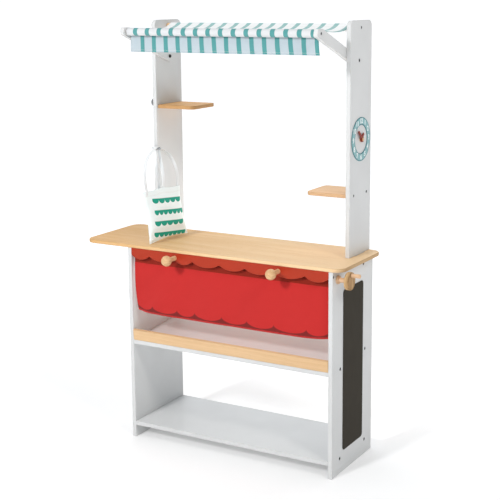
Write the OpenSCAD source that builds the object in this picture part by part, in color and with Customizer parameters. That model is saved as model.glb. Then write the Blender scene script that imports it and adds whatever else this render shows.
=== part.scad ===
/* [Base] */
// Outer width across the two side panels
base_w = 640; // [560:1:760]
// Depth of the side panels, front to back
base_d = 250; // [215:1:310]
// Height of the side panels
panel_h = 560; // [500:1:640]
// Thickness of the painted boards
board_t = 12; // [10:0.5:16]
// Height of the lower shelf's underside above the floor
lower_shelf_h = 36; // [20:1:90]
// Height of the sloping shelf's front top edge
middle_shelf_h = 292; // [220:1:330]
// Depth of the sloping shelf along its slope
middle_shelf_d = 240; // [190:1:246]
// Slope of the middle shelf, rising to the back
shelf_tilt = 5; // [0:0.5:8]
// Height of the lip along the sloping shelf's front
lip_h = 31; // [15:1:50]
// Thickness of that lip
lip_t = 10; // [6:0.5:14]

/* [Counter] */
// Thickness of the counter top
counter_t = 10; // [10:0.5:16]
// Depth of the counter top
counter_d = 255; // [225:1:320]
// Overhang of the counter past the left panel
overhang_left = 150; // [60:1:200]
// Overhang of the counter past the right panel
overhang_right = 26; // [10:1:40]
// Corner radius of the counter in plan
counter_corner = 30; // [5:1:60]

/* [Front valance] */
// Depth of the valance at its lobes
valance_drop = 31; // [24:1:45]
// Depth of the valance at its cusps
valance_cusp = 19; // [14:1:22]
// Distance of each peg from the stall's middle
peg_spread = 162; // [80:1:220]
// Distance of the pegs below the counter
peg_below = 14; // [9:1:18]
// Diameter of the peg balls
ball_d = 29; // [18:0.5:36]
// Diameter of the peg stems
stem_d = 13; // [8:0.5:16]
// Distance from the valance to the centre of each ball
ball_reach = 40; // [28:1:60]

/* [Uprights] */
// Height of the uprights above the counter
upright_h = 620; // [540:1:720]
// Width of the uprights, front to back
upright_w = 131; // [128:1:150]
// Radius of the uprights' top corners
upright_corner = 16; // [4:1:30]
// Width of the tongue that passes through the counter
tongue_w = 60; // [40:1:80]
// Length of the tongue below the counter
tongue_len = 36; // [28:1:60]
// Height of the left display shelf's underside above the counter
left_shelf_rise = 372; // [300:1:400]
// Height of the right display shelf's underside above the counter
right_shelf_rise = 159; // [100:1:220]
// Length of a display shelf, out from its upright
display_l = 120; // [80:1:150]
// Width of a display shelf, front to back
display_w = 118; // [80:1:125]
// Thickness of a display shelf
display_t = 10; // [9:0.5:14]
// Corner radius of a display shelf
display_corner = 15; // [4:1:30]

/* [Awning] */
// Diameter of the two awning poles
pole_d = 18; // [14:0.5:24]
// Distance of the rear pole below the uprights' tops
rear_pole_drop = 19; // [17:1:26]
// Distance of the front pole below the uprights' tops
front_pole_drop = 28; // [22:1:50]
// Distance of the front pole ahead of the uprights' front edges
front_pole_reach = 144; // [100:1:160]
// Distance of the arms' bolts below the uprights' tops
arm_bolt_drop = 103; // [80:1:130]
// Distance of the arms' bolts behind the uprights' front edges
arm_bolt_back = 54; // [30:1:80]
// Width of the awning arms
arm_w = 28; // [24:0.5:36]
// Thickness of the awning arms
arm_t = 12; // [10:0.5:16]
// Length of an arm past its hole at either end
arm_end = 19; // [15:1:26]
// Thickness of the awning cloth
cloth_t = 1.2; // [0.8:0.1:2]
// Sag of the awning cloth between its poles
cloth_sag = 14; // [4:1:20]
// Length of cloth hanging below the front pole's centre
frill_drop = 54; // [30:1:70]

/* [Roller curtain] */
// Diameter of the roller
roller_d = 20; // [16:0.5:24]
// Distance of the roller's axis behind the front
roller_back = 28; // [26:0.5:40]
// Distance of the roller's axis below the counter
roller_below = 24; // [20:0.5:40]
// Diameter of the roller's two journals
journal_d = 13; // [10:0.5:14]
// Thickness of the cloth wound on the roller
winding_t = 2; // [1.5:0.1:2.5]
// Thickness of the curtain cloth
curtain_t = 1.2; // [0.8:0.1:2]
// Length of curtain hanging below the roller's axis
curtain_drop = 164; // [100:1:190]
// Rise of the curtain's lower corners
corner_lift = 8; // [0:1:16]

/* [Crank] */
// Diameter of the crank's flanged bush
flange_d = 22; // [20:0.5:30]
// Wall of the bushes that the roller turns in
bush_wall = 2.5; // [1.5:0.1:3]
// Thickness of the bush's flange
flange_t = 6; // [3:0.5:10]
// Distance from the panel to the crank wheel
wheel_out = 28; // [14:1:40]
// Diameter of the crank wheel
wheel_d = 47; // [40:0.5:60]
// Thickness of the crank wheel
wheel_t = 12; // [8:0.5:18]
// Width of the wheel's bevels
wheel_bevel = 3; // [1:0.5:3.5]
// Diameter of the crank handle
handle_d = 11.5; // [8:0.5:13]
// Step from the handle down to its spigot
spigot_step = 1.75; // [1:0.25:2.5]
// Length of the crank handle past the wheel
handle_l = 25; // [18:1:40]
// Distance of the handle from the wheel's centre
handle_off = 15.5; // [14.5:0.25:16]

/* [Clock] */
// Height of the clock's centre above the counter
clock_rise = 310; // [240:1:380]
// Outer radius of the clock's ring
ring_r = 58; // [45:0.5:62]
// Width of the clock's ring
ring_w = 20; // [12:0.5:26]
// Thickness of the clock's ring
ring_t = 1.5; // [0.8:0.1:2.5]
// Length of the minute hand
minute_l = 34; // [28:0.5:40]
// Length of the hour hand
hour_l = 20; // [15:0.5:28]
// Thickness of the hands
hand_t = 2; // [1.5:0.1:3]
// Diameter of the clock's pin
pin_d = 5; // [4:0.25:6]

/* [Chalkboard] */
// Width of the chalkboard
chalk_w = 123; // [80:1:140]
// Height of the chalkboard
chalk_h = 442; // [300:1:455]
// Height of the chalkboard's lower edge above the floor
chalk_up = 59; // [56:1:120]
// Thickness of the chalkboard
chalk_t = 1.5; // [1:0.1:3]
// Corner radius of the chalkboard
chalk_corner = 10; // [3:0.5:20]

/* [Bag] */
// Width of the bag at its bottom
bag_w = 152; // [120:1:170]
// Width of the bag at its mouth
bag_mouth_w = 135; // [110:1:150]
// Height of the bag
bag_h = 149; // [120:1:165]
// Thickness of the bag at its fullest
bag_t = 26; // [18:1:40]
// Thickness of the bag at its mouth
bag_mouth_t = 14; // [10:0.5:18]
// Rise of the bag's bottom from its front corner to its back corner
bag_skew = 11; // [0:1:16]
// Height of the bag's hook above the counter
hook_rise = 260; // [240:1:290]
// Diameter of the bag's hook
hook_d = 7; // [5:0.5:8]
// Distance of the hook's arm ahead of its upright
hook_out = 14; // [10:1:20]
// Length of the hook's arm
hook_arm = 30; // [30:1:40]
// Width of the bag's straps
strap_w = 9; // [6:0.5:9.5]
// Thickness of the bag's straps
strap_t = 1.5; // [1:0.1:2]

/* [Fasteners] */
// Diameter of a bolt head
head_d = 10; // [8:0.5:11]
// Thickness of a bolt head
head_h = 4; // [3:0.5:5]
// Diameter of a bolt shank
shank_d = 6; // [4:0.5:6.5]
// Diameter of a barrel nut
barrel_d = 10; // [9:0.5:12]
// Distance from a shelf's end to its barrel nuts
barrel_in = 26; // [18:1:40]
// Diameter of a screw head
screw_head_d = 8; // [6:0.5:9]
// Diameter of a screw shank
screw_d = 4; // [3:0.5:4.5]
// Diameter of the grey knob outside the left upright
knob_d = 24; // [16:0.5:30]
// Depth of that knob
knob_h = 14; // [8:0.5:20]
// Diameter of the counter's dowels
dowel_d = 7; // [5:0.5:8]

/* [Fits] */
// Radial clearance of pins, bolts and shafts in their holes
slip = 0.05; // [0.02:0.01:0.08]
// Gap left between cloth and what carries it
soft_gap = 0.3; // [0.2:0.05:0.5]
// Depth of a bolt head below the face around it
sunk = 0.6; // [0.2:0.1:1.5]
// Gap round a tongue in its slot
slot_gap = 0.2; // [0.1:0.05:0.5]

/* [Hidden] */
$fn = 64;
hull_fn = 32;

// Run of a cut past the face it opens, lap of two joined shapes, wood behind a blind hole
cut = 1;
lap = 0.5;
skin = 2;

white_paint = "#eceeee";
natural_wood = "#e7c594";
red_paint = "#be4b38";
red_cloth = "#d23737";
teal = "#82afaf";
chalk_black = "#3e3a32";
bolt_grey = "#6f7478";
hand_red = "#8c3228";
canvas = "#f0efe8";
stripe_cloth = "#d6e4e2";

// Faces of the side panels and uprights, and the main levels
panel_out = base_w / 2;
panel_in = panel_out - board_t;
upright_in = panel_in - board_t;
arm_in = upright_in - arm_t;
counter_top_z = panel_h + counter_t;
top_z = counter_top_z + upright_h;
upright_y0 = counter_d - upright_w;
upright_mid = upright_y0 + upright_w / 2;

// Reach of the whole stall, which sets the origin under its middle
reach_right = panel_out + wheel_out + wheel_t + handle_l;
reach_left = panel_out + overhang_left;
reach_front = ball_reach + ball_d / 2;
mid_x = (reach_right - reach_left) / 2;
mid_y = (counter_d - reach_front) / 2;

// Bolt places along a shelf, from its front edge
shelf_bolt_front = 48;
bolt_inset = 46;
slope_bolt_inset = 36;
lower_mid_z = lower_shelf_h + board_t / 2;

// A point of the sloping shelf: s along its slope, n off its top face
function slope_pt(s, n) = [
    s * cos(shelf_tilt) - n * sin(shelf_tilt),
    middle_shelf_h + s * sin(shelf_tilt) + n * cos(shelf_tilt)
];
function shelf_bolts_at() = [
    [shelf_bolt_front, lower_mid_z, 0],
    [base_d - bolt_inset, lower_mid_z, 0],
    [each slope_pt(shelf_bolt_front, -board_t / 2), shelf_tilt],
    [each slope_pt(middle_shelf_d - slope_bolt_inset, -board_t / 2), shelf_tilt]
];
shelf_bolt_l = board_t - sunk + barrel_in + skin;
barrel_l = board_t - skin;

// Roller and crank
roller_z = panel_h - roller_below;
winding_d = roller_d + 2 * winding_t;
bush_d = journal_d + 2 * bush_wall;
wheel_x = panel_out + wheel_out;
spigot_d = handle_d - 2 * spigot_step;
journal_tip = wheel_x + wheel_t - skin;
left_bush = board_t - 2 * skin;
left_journal = left_bush - skin;
end_play = 0.5;
handle_chamfer = 2;

// Awning
rear_pole_z = top_z - rear_pole_drop;
front_pole_z = top_z - front_pole_drop;
front_pole_y = upright_y0 - front_pole_reach;
arm_bolt_y = upright_y0 + arm_bolt_back;
arm_bolt_z = top_z - arm_bolt_drop;
arm_rise = front_pole_z - arm_bolt_z;
arm_run = arm_bolt_y - front_pole_y;
arm_len = sqrt(arm_rise * arm_rise + arm_run * arm_run);
arm_angle = atan2(arm_rise, -arm_run);
sleeve_r = pole_d / 2 + soft_gap;
cloth_side_gap = 1;
sleeve_sink = cloth_t / 10;
front_leave = 84;
rear_leave = 120;
cloth_steps = 12;
seam_r = 0.5;
cloth_half = arm_in - cloth_side_gap;
arm_crown = pole_d / 2 + cloth_t + cloth_side_gap;
pole_screw_l = 34;

// Clock stack outwards from the upright's outer face
clock_z = counter_top_z + clock_rise;
spacer_t = 1.8;
stack_gap = 0.3;
hour_x = panel_in + spacer_t + stack_gap;
minute_x = hour_x + hand_t + stack_gap;
cap_x = minute_x + hand_t + stack_gap;
cap_t = 2;
pin_cap_d = 9;
pin_root = 8;
hand_boss = 15;
hour_w = 9.5;
hour_tip = 8;
minute_w = 9;
minute_tip = 7;
minute_angle = 46;
hour_angle = -40;

// Bag: its bottom and mouth centres, and the hook that its straps hang on
bag_turn = -10;
bag_clear = 48;
bag_ahead = 23;
bag_foot = [-upright_in + bag_clear, upright_y0 - bag_ahead, counter_top_z + soft_gap];
bag_lean = [-12, -14, 0];
bag_tilt = atan(bag_skew / bag_w);
bag_full_z = 45;
bag_seam = 8;
bag_slab_t = 1;
hook_at = [-(panel_in + upright_in) / 2, upright_y0 - hook_out, counter_top_z + hook_rise];
hook_root = 12;
strap_steps = 7;
strap_turns = 4;
strap_twist = 1.6;
strap_r = hook_d / 2 + soft_gap + strap_t / 2;
strap_gap = 1;
strap_stand = [0, 0, 3];
strap_mid = 5;
strap_end = (bag_mouth_w - strap_w) / 2 - skin;
strap_x = hook_at[0] + hook_arm - (hook_d + strap_w) / 2;
loose_lift = 12;
loop_bulge = 22;
loop_pull = 62;
taut_pull = 30;

// Small joinery: dowels, spigots, knob, nuts and screws
dowel_front = 62;
dowel_inset = 28;
dowel_ys = [dowel_front, base_d - dowel_inset];
dowel_deep = 12;
dowel_up = counter_t - 4;
peg_spigot = board_t - 3;
peg_spigot_d = stem_d - 4;
display_bolt = 40;
display_y0 = upright_mid - display_w / 2;
function display_z(side) = counter_top_z + (side > 0 ? right_shelf_rise : left_shelf_rise);
knob_root = 6;
knob_root_d = 6;
knob_step = 3;
knob_y = upright_y0 + 16;
knob_z = display_z(-1) + display_t + 6;
dome_h = knob_h * 2 / 3;
dome_r = (knob_d * knob_d / 4 + dome_h * dome_h) / (2 * dome_h);
upright_bolt_below = 15;
nut_t = 3;
nut_d = head_d + 3;
screw_head_h = 3;
display_screw_l = 40;
valance_screw_below = valance_cusp - 6;
valance_screw_l = 45;

// Lobes of the valance as shares of its width
lobe_shares = [56, 78, 54, 82, 74, 77, 91, 64];
function sum_to(v, n) = n == 0 ? 0 : v[n - 1] + sum_to(v, n - 1);
valance_l = 2 * panel_in;
function cusp_x(i) = -panel_in
    + valance_l * sum_to(lobe_shares, i) / sum_to(lobe_shares, len(lobe_shares));

// Curtain form
curtain_side_gap = 2;
curtain_half = panel_in - curtain_side_gap;
curtain_y = roller_back - winding_d / 2 - soft_gap - curtain_t / 2;
curtain_belly = 5;
curtain_wave = 0.8;
corner_back = 2;
function curtain_pt(u, v) =
    let (x = (2 * u - 1) * curtain_half, edge = pow(abs(2 * u - 1), 8))
    [
        x,
        curtain_y - curtain_belly * sin(120 * v) + curtain_wave * v * sin(u * 1440)
            + corner_back * edge * v * v,
        roller_z - v * (curtain_drop - corner_lift * edge)
    ];

// Frill form: a strip that hangs from the back of the front sleeve
frill_y = front_pole_y + sleeve_r + cloth_t + soft_gap + cloth_t / 2;
frill_wave = 1.6;
function frill_pt(u, v) = [
    (2 * u - 1) * cloth_half,
    frill_y + frill_wave * v * sin(u * 1800) - 2 * v,
    front_pole_z - v * frill_drop
];

// Moves the stall so that the origin lies under the middle of its box
module in_frame() translate([-mid_x, -mid_y, 0]) children();

// Stands a side profile, drawn as [y, z], from x0 with thickness t
module side_on(x0, t) translate([x0, 0, 0]) rotate([90, 0, 90]) linear_extrude(t) children();

// Stands a front profile, drawn as [x, z], from y0 with thickness t
module front_on(y0, t) translate([0, y0 + t, 0]) rotate([90, 0, 0]) linear_extrude(t) children();

// A round bar along X
module rod_x(x0, x1, y, z, d)
    translate([min(x0, x1), y, z]) rotate([0, 90, 0]) cylinder(h = abs(x1 - x0), d = d);

// A rounded rectangle from the origin
module rounded_plate(w, h, r) {
    translate([r, 0]) square([w - 2 * r, h]);
    translate([0, r]) square([w, h - 2 * r]);
    for (x = [r, w - r], y = [r, h - r]) translate([x, y]) circle(r);
}

// A round-headed fastener along X: its head lies below the face at x = side * face
module fastener(side, face, y, z, hd, hh, sd, l, play = 0) {
    head_x = side * (face - sunk);
    rod_x(head_x + (play > 0 ? side * (sunk + cut) : 0), head_x - side * hh, y, z, hd + 2 * play);
    rod_x(head_x - side * (hh - lap), head_x - side * (l + play), y, z, sd + 2 * play);
}

// A closed sheet of cloth over points pt(u, v), with its thickness along Y
module cloth_sheet(nu, nv, t, pt) {
    row = nu + 1;
    layer = row * (nv + 1);
    points = [
        for (s = [-1, 1], j = [0:nv], i = [0:nu]) pt(i / nu, j / nv) + [0, s * t / 2, 0]
    ];
    function quad(a, b, c, d) = [[a, b, c], [a, c, d]];
    faces = [
        for (j = [0:nv - 1], i = [0:nu - 1])
            let (a = j * row + i)
            each concat(
                quad(a, a + 1, a + row + 1, a + row),
                quad(layer + a, layer + a + row, layer + a + row + 1, layer + a + 1)
            ),
        for (i = [0:nu - 1])
            let (b = nv * row + i)
            each concat(
                quad(i, layer + i, layer + i + 1, i + 1),
                quad(b, b + 1, layer + b + 1, layer + b)
            ),
        for (j = [0:nv - 1])
            let (a = j * row, b = j * row + nu)
            each concat(
                quad(a, a + row, layer + a + row, layer + a),
                quad(b, layer + b, layer + b + row, b + row)
            )
    ];
    polyhedron(points, faces, convexity = 6);
}

// A flat band along path points, each with its own direction across
module band(path, across, w, t) {
    n = len(path);
    function unit(a) = a / norm(a);
    function along(i) = unit(path[min(i + 1, n - 1)] - path[max(i - 1, 0)]);
    function flat(i) = unit(across[i] - along(i) * (across[i] * along(i)));
    points = [
        for (i = [0:n - 1])
            let (a = flat(i) * w / 2, b = cross(along(i), flat(i)) * t / 2)
            each [path[i] - a - b, path[i] + a - b, path[i] + a + b, path[i] - a + b]
    ];
    faces = concat(
        [[0, 1, 2], [0, 2, 3]],
        [
            for (i = [0:n - 2], k = [0:3])
                let (a = 4 * i + k, b = 4 * i + (k + 1) % 4)
                each [[a, a + 4, b + 4], [a, b + 4, b]]
        ],
        [[4 * n - 4, 4 * n - 2, 4 * n - 3], [4 * n - 4, 4 * n - 1, 4 * n - 2]]
    );
    polyhedron(points, faces, convexity = 6);
}

// Holes of a side panel: shelf bolts, upright bolt, valance screw and roller bush
module panel_holes(side) {
    for (p = shelf_bolts_at())
        fastener(side, panel_out, p[0], p[1], head_d, head_h, shank_d, shelf_bolt_l, slip);
    upright_bolt(side, slip);
    valance_screw(side, slip);
    for (y = dowel_ys)
        translate([side * (panel_in + board_t / 2), y, panel_h - dowel_deep - slip])
            cylinder(h = dowel_deep + cut, d = dowel_d + 2 * slip);
}

module side_panel(side) {
    difference() {
        side_on(side > 0 ? panel_in : -panel_out, board_t) square([base_d, panel_h]);
        panel_holes(side);
        if (side > 0)
            rod_x(panel_in - cut, panel_out + cut, roller_back, roller_z, bush_d + 2 * slip);
        else
            rod_x(-panel_in + cut, -panel_in - left_bush, roller_back, roller_z, bush_d + 2 * slip);
    }
}
module left_side_panel() color(white_paint) in_frame() side_panel(-1);
module right_side_panel() color(white_paint) in_frame() side_panel(1);

// Cuts for the bolts and barrel nuts of one shelf, picked from the list of bolts
module shelf_cuts(first) {
    places = shelf_bolts_at();
    for (side = [-1, 1], i = [first, first + 1]) {
        p = places[i];
        fastener(side, panel_out, p[0], p[1], head_d, head_h, shank_d, shelf_bolt_l, slip);
        translate([side * (panel_in - barrel_in), p[0], p[1]]) rotate([p[2], 0, 0])
            translate([0, 0, -board_t])
                cylinder(h = board_t + barrel_l / 2 + slip, d = barrel_d + 2 * slip);
    }
}
module lower_shelf() color(white_paint) in_frame() difference() {
    translate([-panel_in, 0, lower_shelf_h]) cube([2 * panel_in, base_d, board_t]);
    shelf_cuts(0);
}
module middle_shelf() color(white_paint) in_frame() difference() {
    translate([-panel_in, 0, middle_shelf_h]) rotate([shelf_tilt, 0, 0])
        translate([0, 0, -board_t]) cube([2 * panel_in, middle_shelf_d, board_t]);
    shelf_cuts(2);
}
module shelf_lip() color(natural_wood) in_frame()
    translate([-panel_in, 0, middle_shelf_h]) rotate([shelf_tilt, 0, 0])
        cube([2 * panel_in, lip_t, lip_h]);

// A tongue's place through the counter, widened by a gap
module tongue(side, gap) {
    x0 = side > 0 ? upright_in : -panel_in;
    side_on(x0 - gap, board_t + 2 * gap)
        translate([upright_mid - tongue_w / 2 - gap, panel_h - tongue_len])
            square([tongue_w + 2 * gap, tongue_len + counter_t + cut]);
}
module counter_top() color(natural_wood) in_frame() difference() {
    translate([-reach_left, 0, panel_h]) linear_extrude(counter_t)
        rounded_plate(base_w + overhang_left + overhang_right, counter_d, counter_corner);
    for (side = [-1, 1]) tongue(side, slot_gap);
    for (side = [-1, 1], y = dowel_ys)
        translate([side * (panel_in + board_t / 2), y, panel_h - cut])
            cylinder(h = dowel_up + cut + slip, d = dowel_d + 2 * slip);
}
module counter_dowels() color(natural_wood) in_frame()
    for (side = [-1, 1], y = dowel_ys)
        translate([side * (panel_in + board_t / 2), y, panel_h - dowel_deep])
            cylinder(h = dowel_deep + dowel_up, d = dowel_d);

// Scalloped lower edge: each lobe is a segment of a circle hung on its two cusps
module valance_outline() {
    dip = valance_drop - valance_cusp;
    translate([-panel_in, panel_h - valance_cusp]) square([valance_l, valance_cusp]);
    for (i = [0:len(lobe_shares) - 1]) {
        x0 = cusp_x(i);
        span = cusp_x(i + 1) - x0;
        r = (span * span / 4 + dip * dip) / (2 * dip);
        intersection() {
            translate([x0 + span / 2, panel_h - valance_drop + r]) circle(r, $fn = 96);
            translate([x0, panel_h - valance_drop]) square([span, dip + lap]);
        }
    }
}
module front_valance() color(red_paint) in_frame() difference() {
    front_on(0, board_t) valance_outline();
    for (side = [-1, 1]) {
        valance_screw(side, slip);
        translate([side * peg_spread, peg_spigot, panel_h - peg_below]) rotate([90, 0, 0])
            cylinder(h = peg_spigot + cut, d = peg_spigot_d + 2 * slip);
    }
}

// A turned peg: spigot, stem and ball in one revolve
module valance_peg(side) {
    r = ball_d / 2;
    neck = sqrt(r * r - stem_d * stem_d / 4);
    translate([side * peg_spread, 0, panel_h - peg_below]) rotate([90, 0, 0]) rotate_extrude()
        union() {
            translate([0, -peg_spigot]) square([peg_spigot_d / 2, peg_spigot + lap]);
            square([stem_d / 2, ball_reach - neck + lap]);
            translate([0, ball_reach]) intersection() {
                circle(r);
                translate([0, -r]) square([r, 2 * r]);
            }
        }
}
module left_valance_peg() color(natural_wood) in_frame() valance_peg(-1);
module right_valance_peg() color(natural_wood) in_frame() valance_peg(1);

module chalkboard() color(chalk_black) in_frame()
    side_on(panel_out, chalk_t)
        translate([(base_d - chalk_w) / 2, chalk_up]) rounded_plate(chalk_w, chalk_h, chalk_corner);

// An upright: a blade with round top corners and a tongue through the counter
module upright(side) {
    r = upright_corner;
    difference() {
        union() {
            side_on(side > 0 ? upright_in : -panel_in, board_t) translate([upright_y0, counter_top_z]) {
                square([upright_w, upright_h - r]);
                translate([r, 0]) square([upright_w - 2 * r, upright_h]);
                for (y = [r, upright_w - r]) translate([y, upright_h - r]) circle(r);
            }
            tongue(side, 0);
        }
        upright_bolt(side, slip);
        arm_bolt(side, slip);
        rear_pole_screw(side, slip);
        for (dy = [-display_bolt, display_bolt]) display_screw(side, dy, slip);
        if (side > 0)
            rod_x(panel_in - pin_root - slip, panel_in + cut, upright_mid, clock_z, pin_d + 2 * slip);
        else {
            translate(hook_at + [0, hook_out - cut, 0]) rotate([-90, 0, 0])
                cylinder(h = hook_root + cut, d = hook_d + 2 * slip);
            rod_x(-panel_in - cut, -panel_in + knob_root, knob_y, knob_z, knob_root_d + 2 * slip);
        }
    }
}
module left_upright() color(white_paint) in_frame() upright(-1);
module right_upright() color(white_paint) in_frame() upright(1);

// Display shelves stand out from the uprights' inner faces
module display_shelf(side) {
    r = display_corner;
    difference() {
        translate([side > 0 ? upright_in - display_l : -upright_in, display_y0, display_z(side)])
            linear_extrude(display_t) {
                x0 = side > 0 ? r : 0;
                translate([x0, 0]) square([display_l - r, display_w]);
                translate([side > 0 ? 0 : display_l - r, r]) square([r, display_w - 2 * r]);
                for (y = [r, display_w - r]) translate([side > 0 ? r : display_l - r, y]) circle(r);
            }
        for (dy = [-display_bolt, display_bolt]) display_screw(side, dy, slip);
    }
}
module left_display_shelf() color(natural_wood) in_frame() display_shelf(-1);
module right_display_shelf() color(natural_wood) in_frame() display_shelf(1);

// Poles with a pilot hole for the screw in each end
module pole(half, y, z) difference() {
    rod_x(-half, half, y, z, pole_d);
    for (side = [-1, 1])
        rod_x(side * (half + cut), side * (half - pole_screw_l), y, z, screw_d + 2 * slip);
}
module rear_pole() color(natural_wood) in_frame() pole(upright_in, upright_mid, rear_pole_z);
module front_pole() color(natural_wood) in_frame() pole(arm_in, front_pole_y, front_pole_z);

// An arm: a flat bar from its bolt to the front pole, its front end cut level with the cloth
module awning_arm(side) {
    r = arm_w / 4;
    difference() {
        side_on(side > 0 ? arm_in : -upright_in, arm_t) intersection() {
            translate([arm_bolt_y, arm_bolt_z]) rotate(arm_angle)
                translate([-arm_end, -arm_w / 2]) rounded_plate(arm_len + 2 * arm_end, arm_w, r);
            translate([front_pole_y - 2 * arm_w, arm_bolt_z - 2 * arm_w])
                square([arm_run + 4 * arm_w, arm_rise + 2 * arm_w + arm_crown]);
        }
        arm_bolt(side, slip);
        front_pole_screw(side, slip);
    }
}
module left_awning_arm() color(white_paint) in_frame() awning_arm(-1);
module right_awning_arm() color(white_paint) in_frame() awning_arm(1);

// Canopy section: a sleeve round each pole and the slack cloth that hangs between them
module canopy_section() {
    front = [front_pole_y, front_pole_z];
    rear = [upright_mid, rear_pole_z];
    mid_r = sleeve_r + cloth_t / 2;
    start = front + mid_r * [cos(front_leave), sin(front_leave)];
    end = rear + mid_r * [cos(rear_leave), sin(rear_leave)];
    pull = cloth_sag * 4;
    sag = [
        start, start + pull * [sin(front_leave), -cos(front_leave)],
        end - pull * [sin(rear_leave), -cos(rear_leave)], end
    ];
    function mid(i) = bezier(sag, i / cloth_steps);
    function ahead(i) = mid(min(i + 1, cloth_steps)) - mid(max(i - 1, 0));
    function off(i, side) =
        let (d = ahead(i) / norm(ahead(i)))
        mid(i) + side * (cloth_t / 2 - sleeve_sink) * [-d[1], d[0]];
    for (c = [rear, front]) translate(c) difference() {
        circle(sleeve_r + cloth_t);
        circle(sleeve_r);
    }
    polygon(concat(
        [for (i = [0:cloth_steps]) off(i, 1)],
        [for (i = [cloth_steps:-1:0]) off(i, -1)]
    ));
}
module awning_canopy() color(stripe_cloth) in_frame()
    side_on(-cloth_half, 2 * cloth_half) offset(r = -seam_r) offset(r = seam_r) canopy_section();
module awning_frill() color(stripe_cloth) in_frame()
    cloth_sheet(60, 6, cloth_t, function(u, v) frill_pt(u, v));

// Clock on the right upright's outer face
module clock_ring() color(teal) in_frame() difference() {
    rod_x(panel_in, panel_in + ring_t, upright_mid, clock_z, 2 * ring_r);
    rod_x(panel_in - cut, panel_in + ring_t + cut, upright_mid, clock_z, 2 * (ring_r - ring_w));
}
module clock_pin() color(natural_wood) in_frame() {
    rod_x(panel_in - pin_root, cap_x + cap_t, upright_mid, clock_z, pin_d);
    rod_x(panel_in, panel_in + spacer_t, upright_mid, clock_z, hand_boss);
    rod_x(cap_x, cap_x + cap_t, upright_mid, clock_z, pin_cap_d);
}

// A hand: a round boss with a bar that narrows to a round tip
module clock_hand(x0, l, angle, root_w, tip_w) {
    side_on(x0, hand_t) translate([upright_mid, clock_z]) rotate(angle) difference() {
        union() {
            circle(d = hand_boss);
            polygon([
                [-root_w / 2, 0], [root_w / 2, 0],
                [tip_w / 2, l - tip_w / 2], [-tip_w / 2, l - tip_w / 2]
            ]);
            translate([0, l - tip_w / 2]) circle(d = tip_w);
        }
        circle(d = pin_d + 2 * slip);
    }
}
module hour_hand() color(hand_red) in_frame() clock_hand(hour_x, hour_l, hour_angle, hour_w, hour_tip);
module minute_hand() color(hand_red) in_frame()
    clock_hand(minute_x, minute_l, minute_angle, minute_w, minute_tip);

// Grey knob outside the left upright, level with its display shelf
module side_knob() color(bolt_grey) in_frame()
    translate([-panel_in, knob_y, knob_z]) rotate([0, -90, 0]) rotate_extrude() union() {
        translate([0, -knob_root + slip]) square([knob_root_d / 2, knob_root]);
        square([knob_d / 2 - knob_step, knob_h - dome_h + lap]);
        intersection() {
            translate([0, knob_h - dome_r]) circle(dome_r);
            translate([0, knob_h - dome_h]) square([knob_d / 2, knob_h]);
        }
    }

// Bag hook: a neck out of the left upright's front edge and an arm along X
module bag_hook() color(bolt_grey) in_frame() translate(hook_at) {
    rotate([-90, 0, 0]) cylinder(h = hook_out + hook_root - slip, d = hook_d);
    sphere(d = hook_d);
    rotate([0, 90, 0]) cylinder(h = hook_arm, d = hook_d);
    translate([hook_arm, 0, 0]) sphere(d = hook_d);
}

// Bag body: a flat tote whose bottom hangs askew and whose mouth leans to its hook
module bag_slab(w, t) translate([-t / 2, -w / 2, 0])
    linear_extrude(bag_slab_t) rounded_plate(t, w, t * 0.45, $fn = hull_fn);
module bag() color(canvas) in_frame() translate(bag_foot) rotate(bag_turn) hull() {
    translate([0, -bag_w / 2, 0]) rotate([bag_tilt, 0, 0]) translate([0, bag_w / 2, 0])
        bag_slab(bag_w, bag_t / 2);
    translate([0, 0, bag_full_z]) bag_slab(bag_w - bag_seam, bag_t);
    translate(bag_lean + [0, 0, bag_h - bag_slab_t]) bag_slab(bag_mouth_w, bag_mouth_t);
}

// A strap over the hook's arm: loose is the side, -1 front or 1 back, that bows out to a corner
function bezier(p, t) = p[0] * pow(1 - t, 3) + 3 * p[1] * t * pow(1 - t, 2)
    + 3 * p[2] * t * t * (1 - t) + p[3] * pow(t, 3);
function turned(p) = [
    p[0] * cos(bag_turn) - p[1] * sin(bag_turn),
    p[0] * sin(bag_turn) + p[1] * cos(bag_turn),
    p[2]
];
function strap_foot(face, u) = bag_foot
    + turned(bag_lean + [face * (bag_mouth_t - strap_t) / 2, u, bag_h + soft_gap]);
module bag_strap(face, x, loose) {
    top = [x, hook_at[1], hook_at[2]];
    front = strap_foot(face, loose < 0 ? -strap_end : -strap_mid);
    back = strap_foot(face, loose > 0 ? strap_end : strap_mid);
    front_turn = loose < 0 ? 90 + loose_lift : 180;
    back_turn = loose > 0 ? 90 - loose_lift : 0;
    front_pull = loose < 0 ? loop_pull : taut_pull;
    back_pull = loose > 0 ? loop_pull : taut_pull;
    function on_hook(a) = top + strap_r * [0, cos(a), sin(a)];
    function heading(a) = [0, sin(a), -cos(a)];
    rise = [
        front + strap_stand, front + [0, loose < 0 ? -loop_bulge : 0, 2 * taut_pull],
        on_hook(front_turn) - front_pull * heading(front_turn), on_hook(front_turn)
    ];
    fall = [
        on_hook(back_turn), on_hook(back_turn) + back_pull * heading(back_turn),
        back + [0, loose > 0 ? loop_bulge : 0, 2 * taut_pull], back + strap_stand
    ];
    path = concat(
        [front],
        [for (i = [0:strap_steps - 1]) bezier(rise, i / strap_steps)],
        [for (i = [0:strap_turns]) on_hook(front_turn + (back_turn - front_turn) * i / strap_turns)],
        [for (i = [1:strap_steps]) bezier(fall, i / strap_steps)],
        [back]
    );
    n = len(path);
    across = [
        for (i = [0:n - 1])
            let (k = min(1, strap_twist * min(i, n - 1 - i) / strap_steps))
            (1 - k) * turned([0, 1, 0]) + k * [1, 0, 0]
    ];
    band(path, across, strap_w, strap_t);
}
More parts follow.
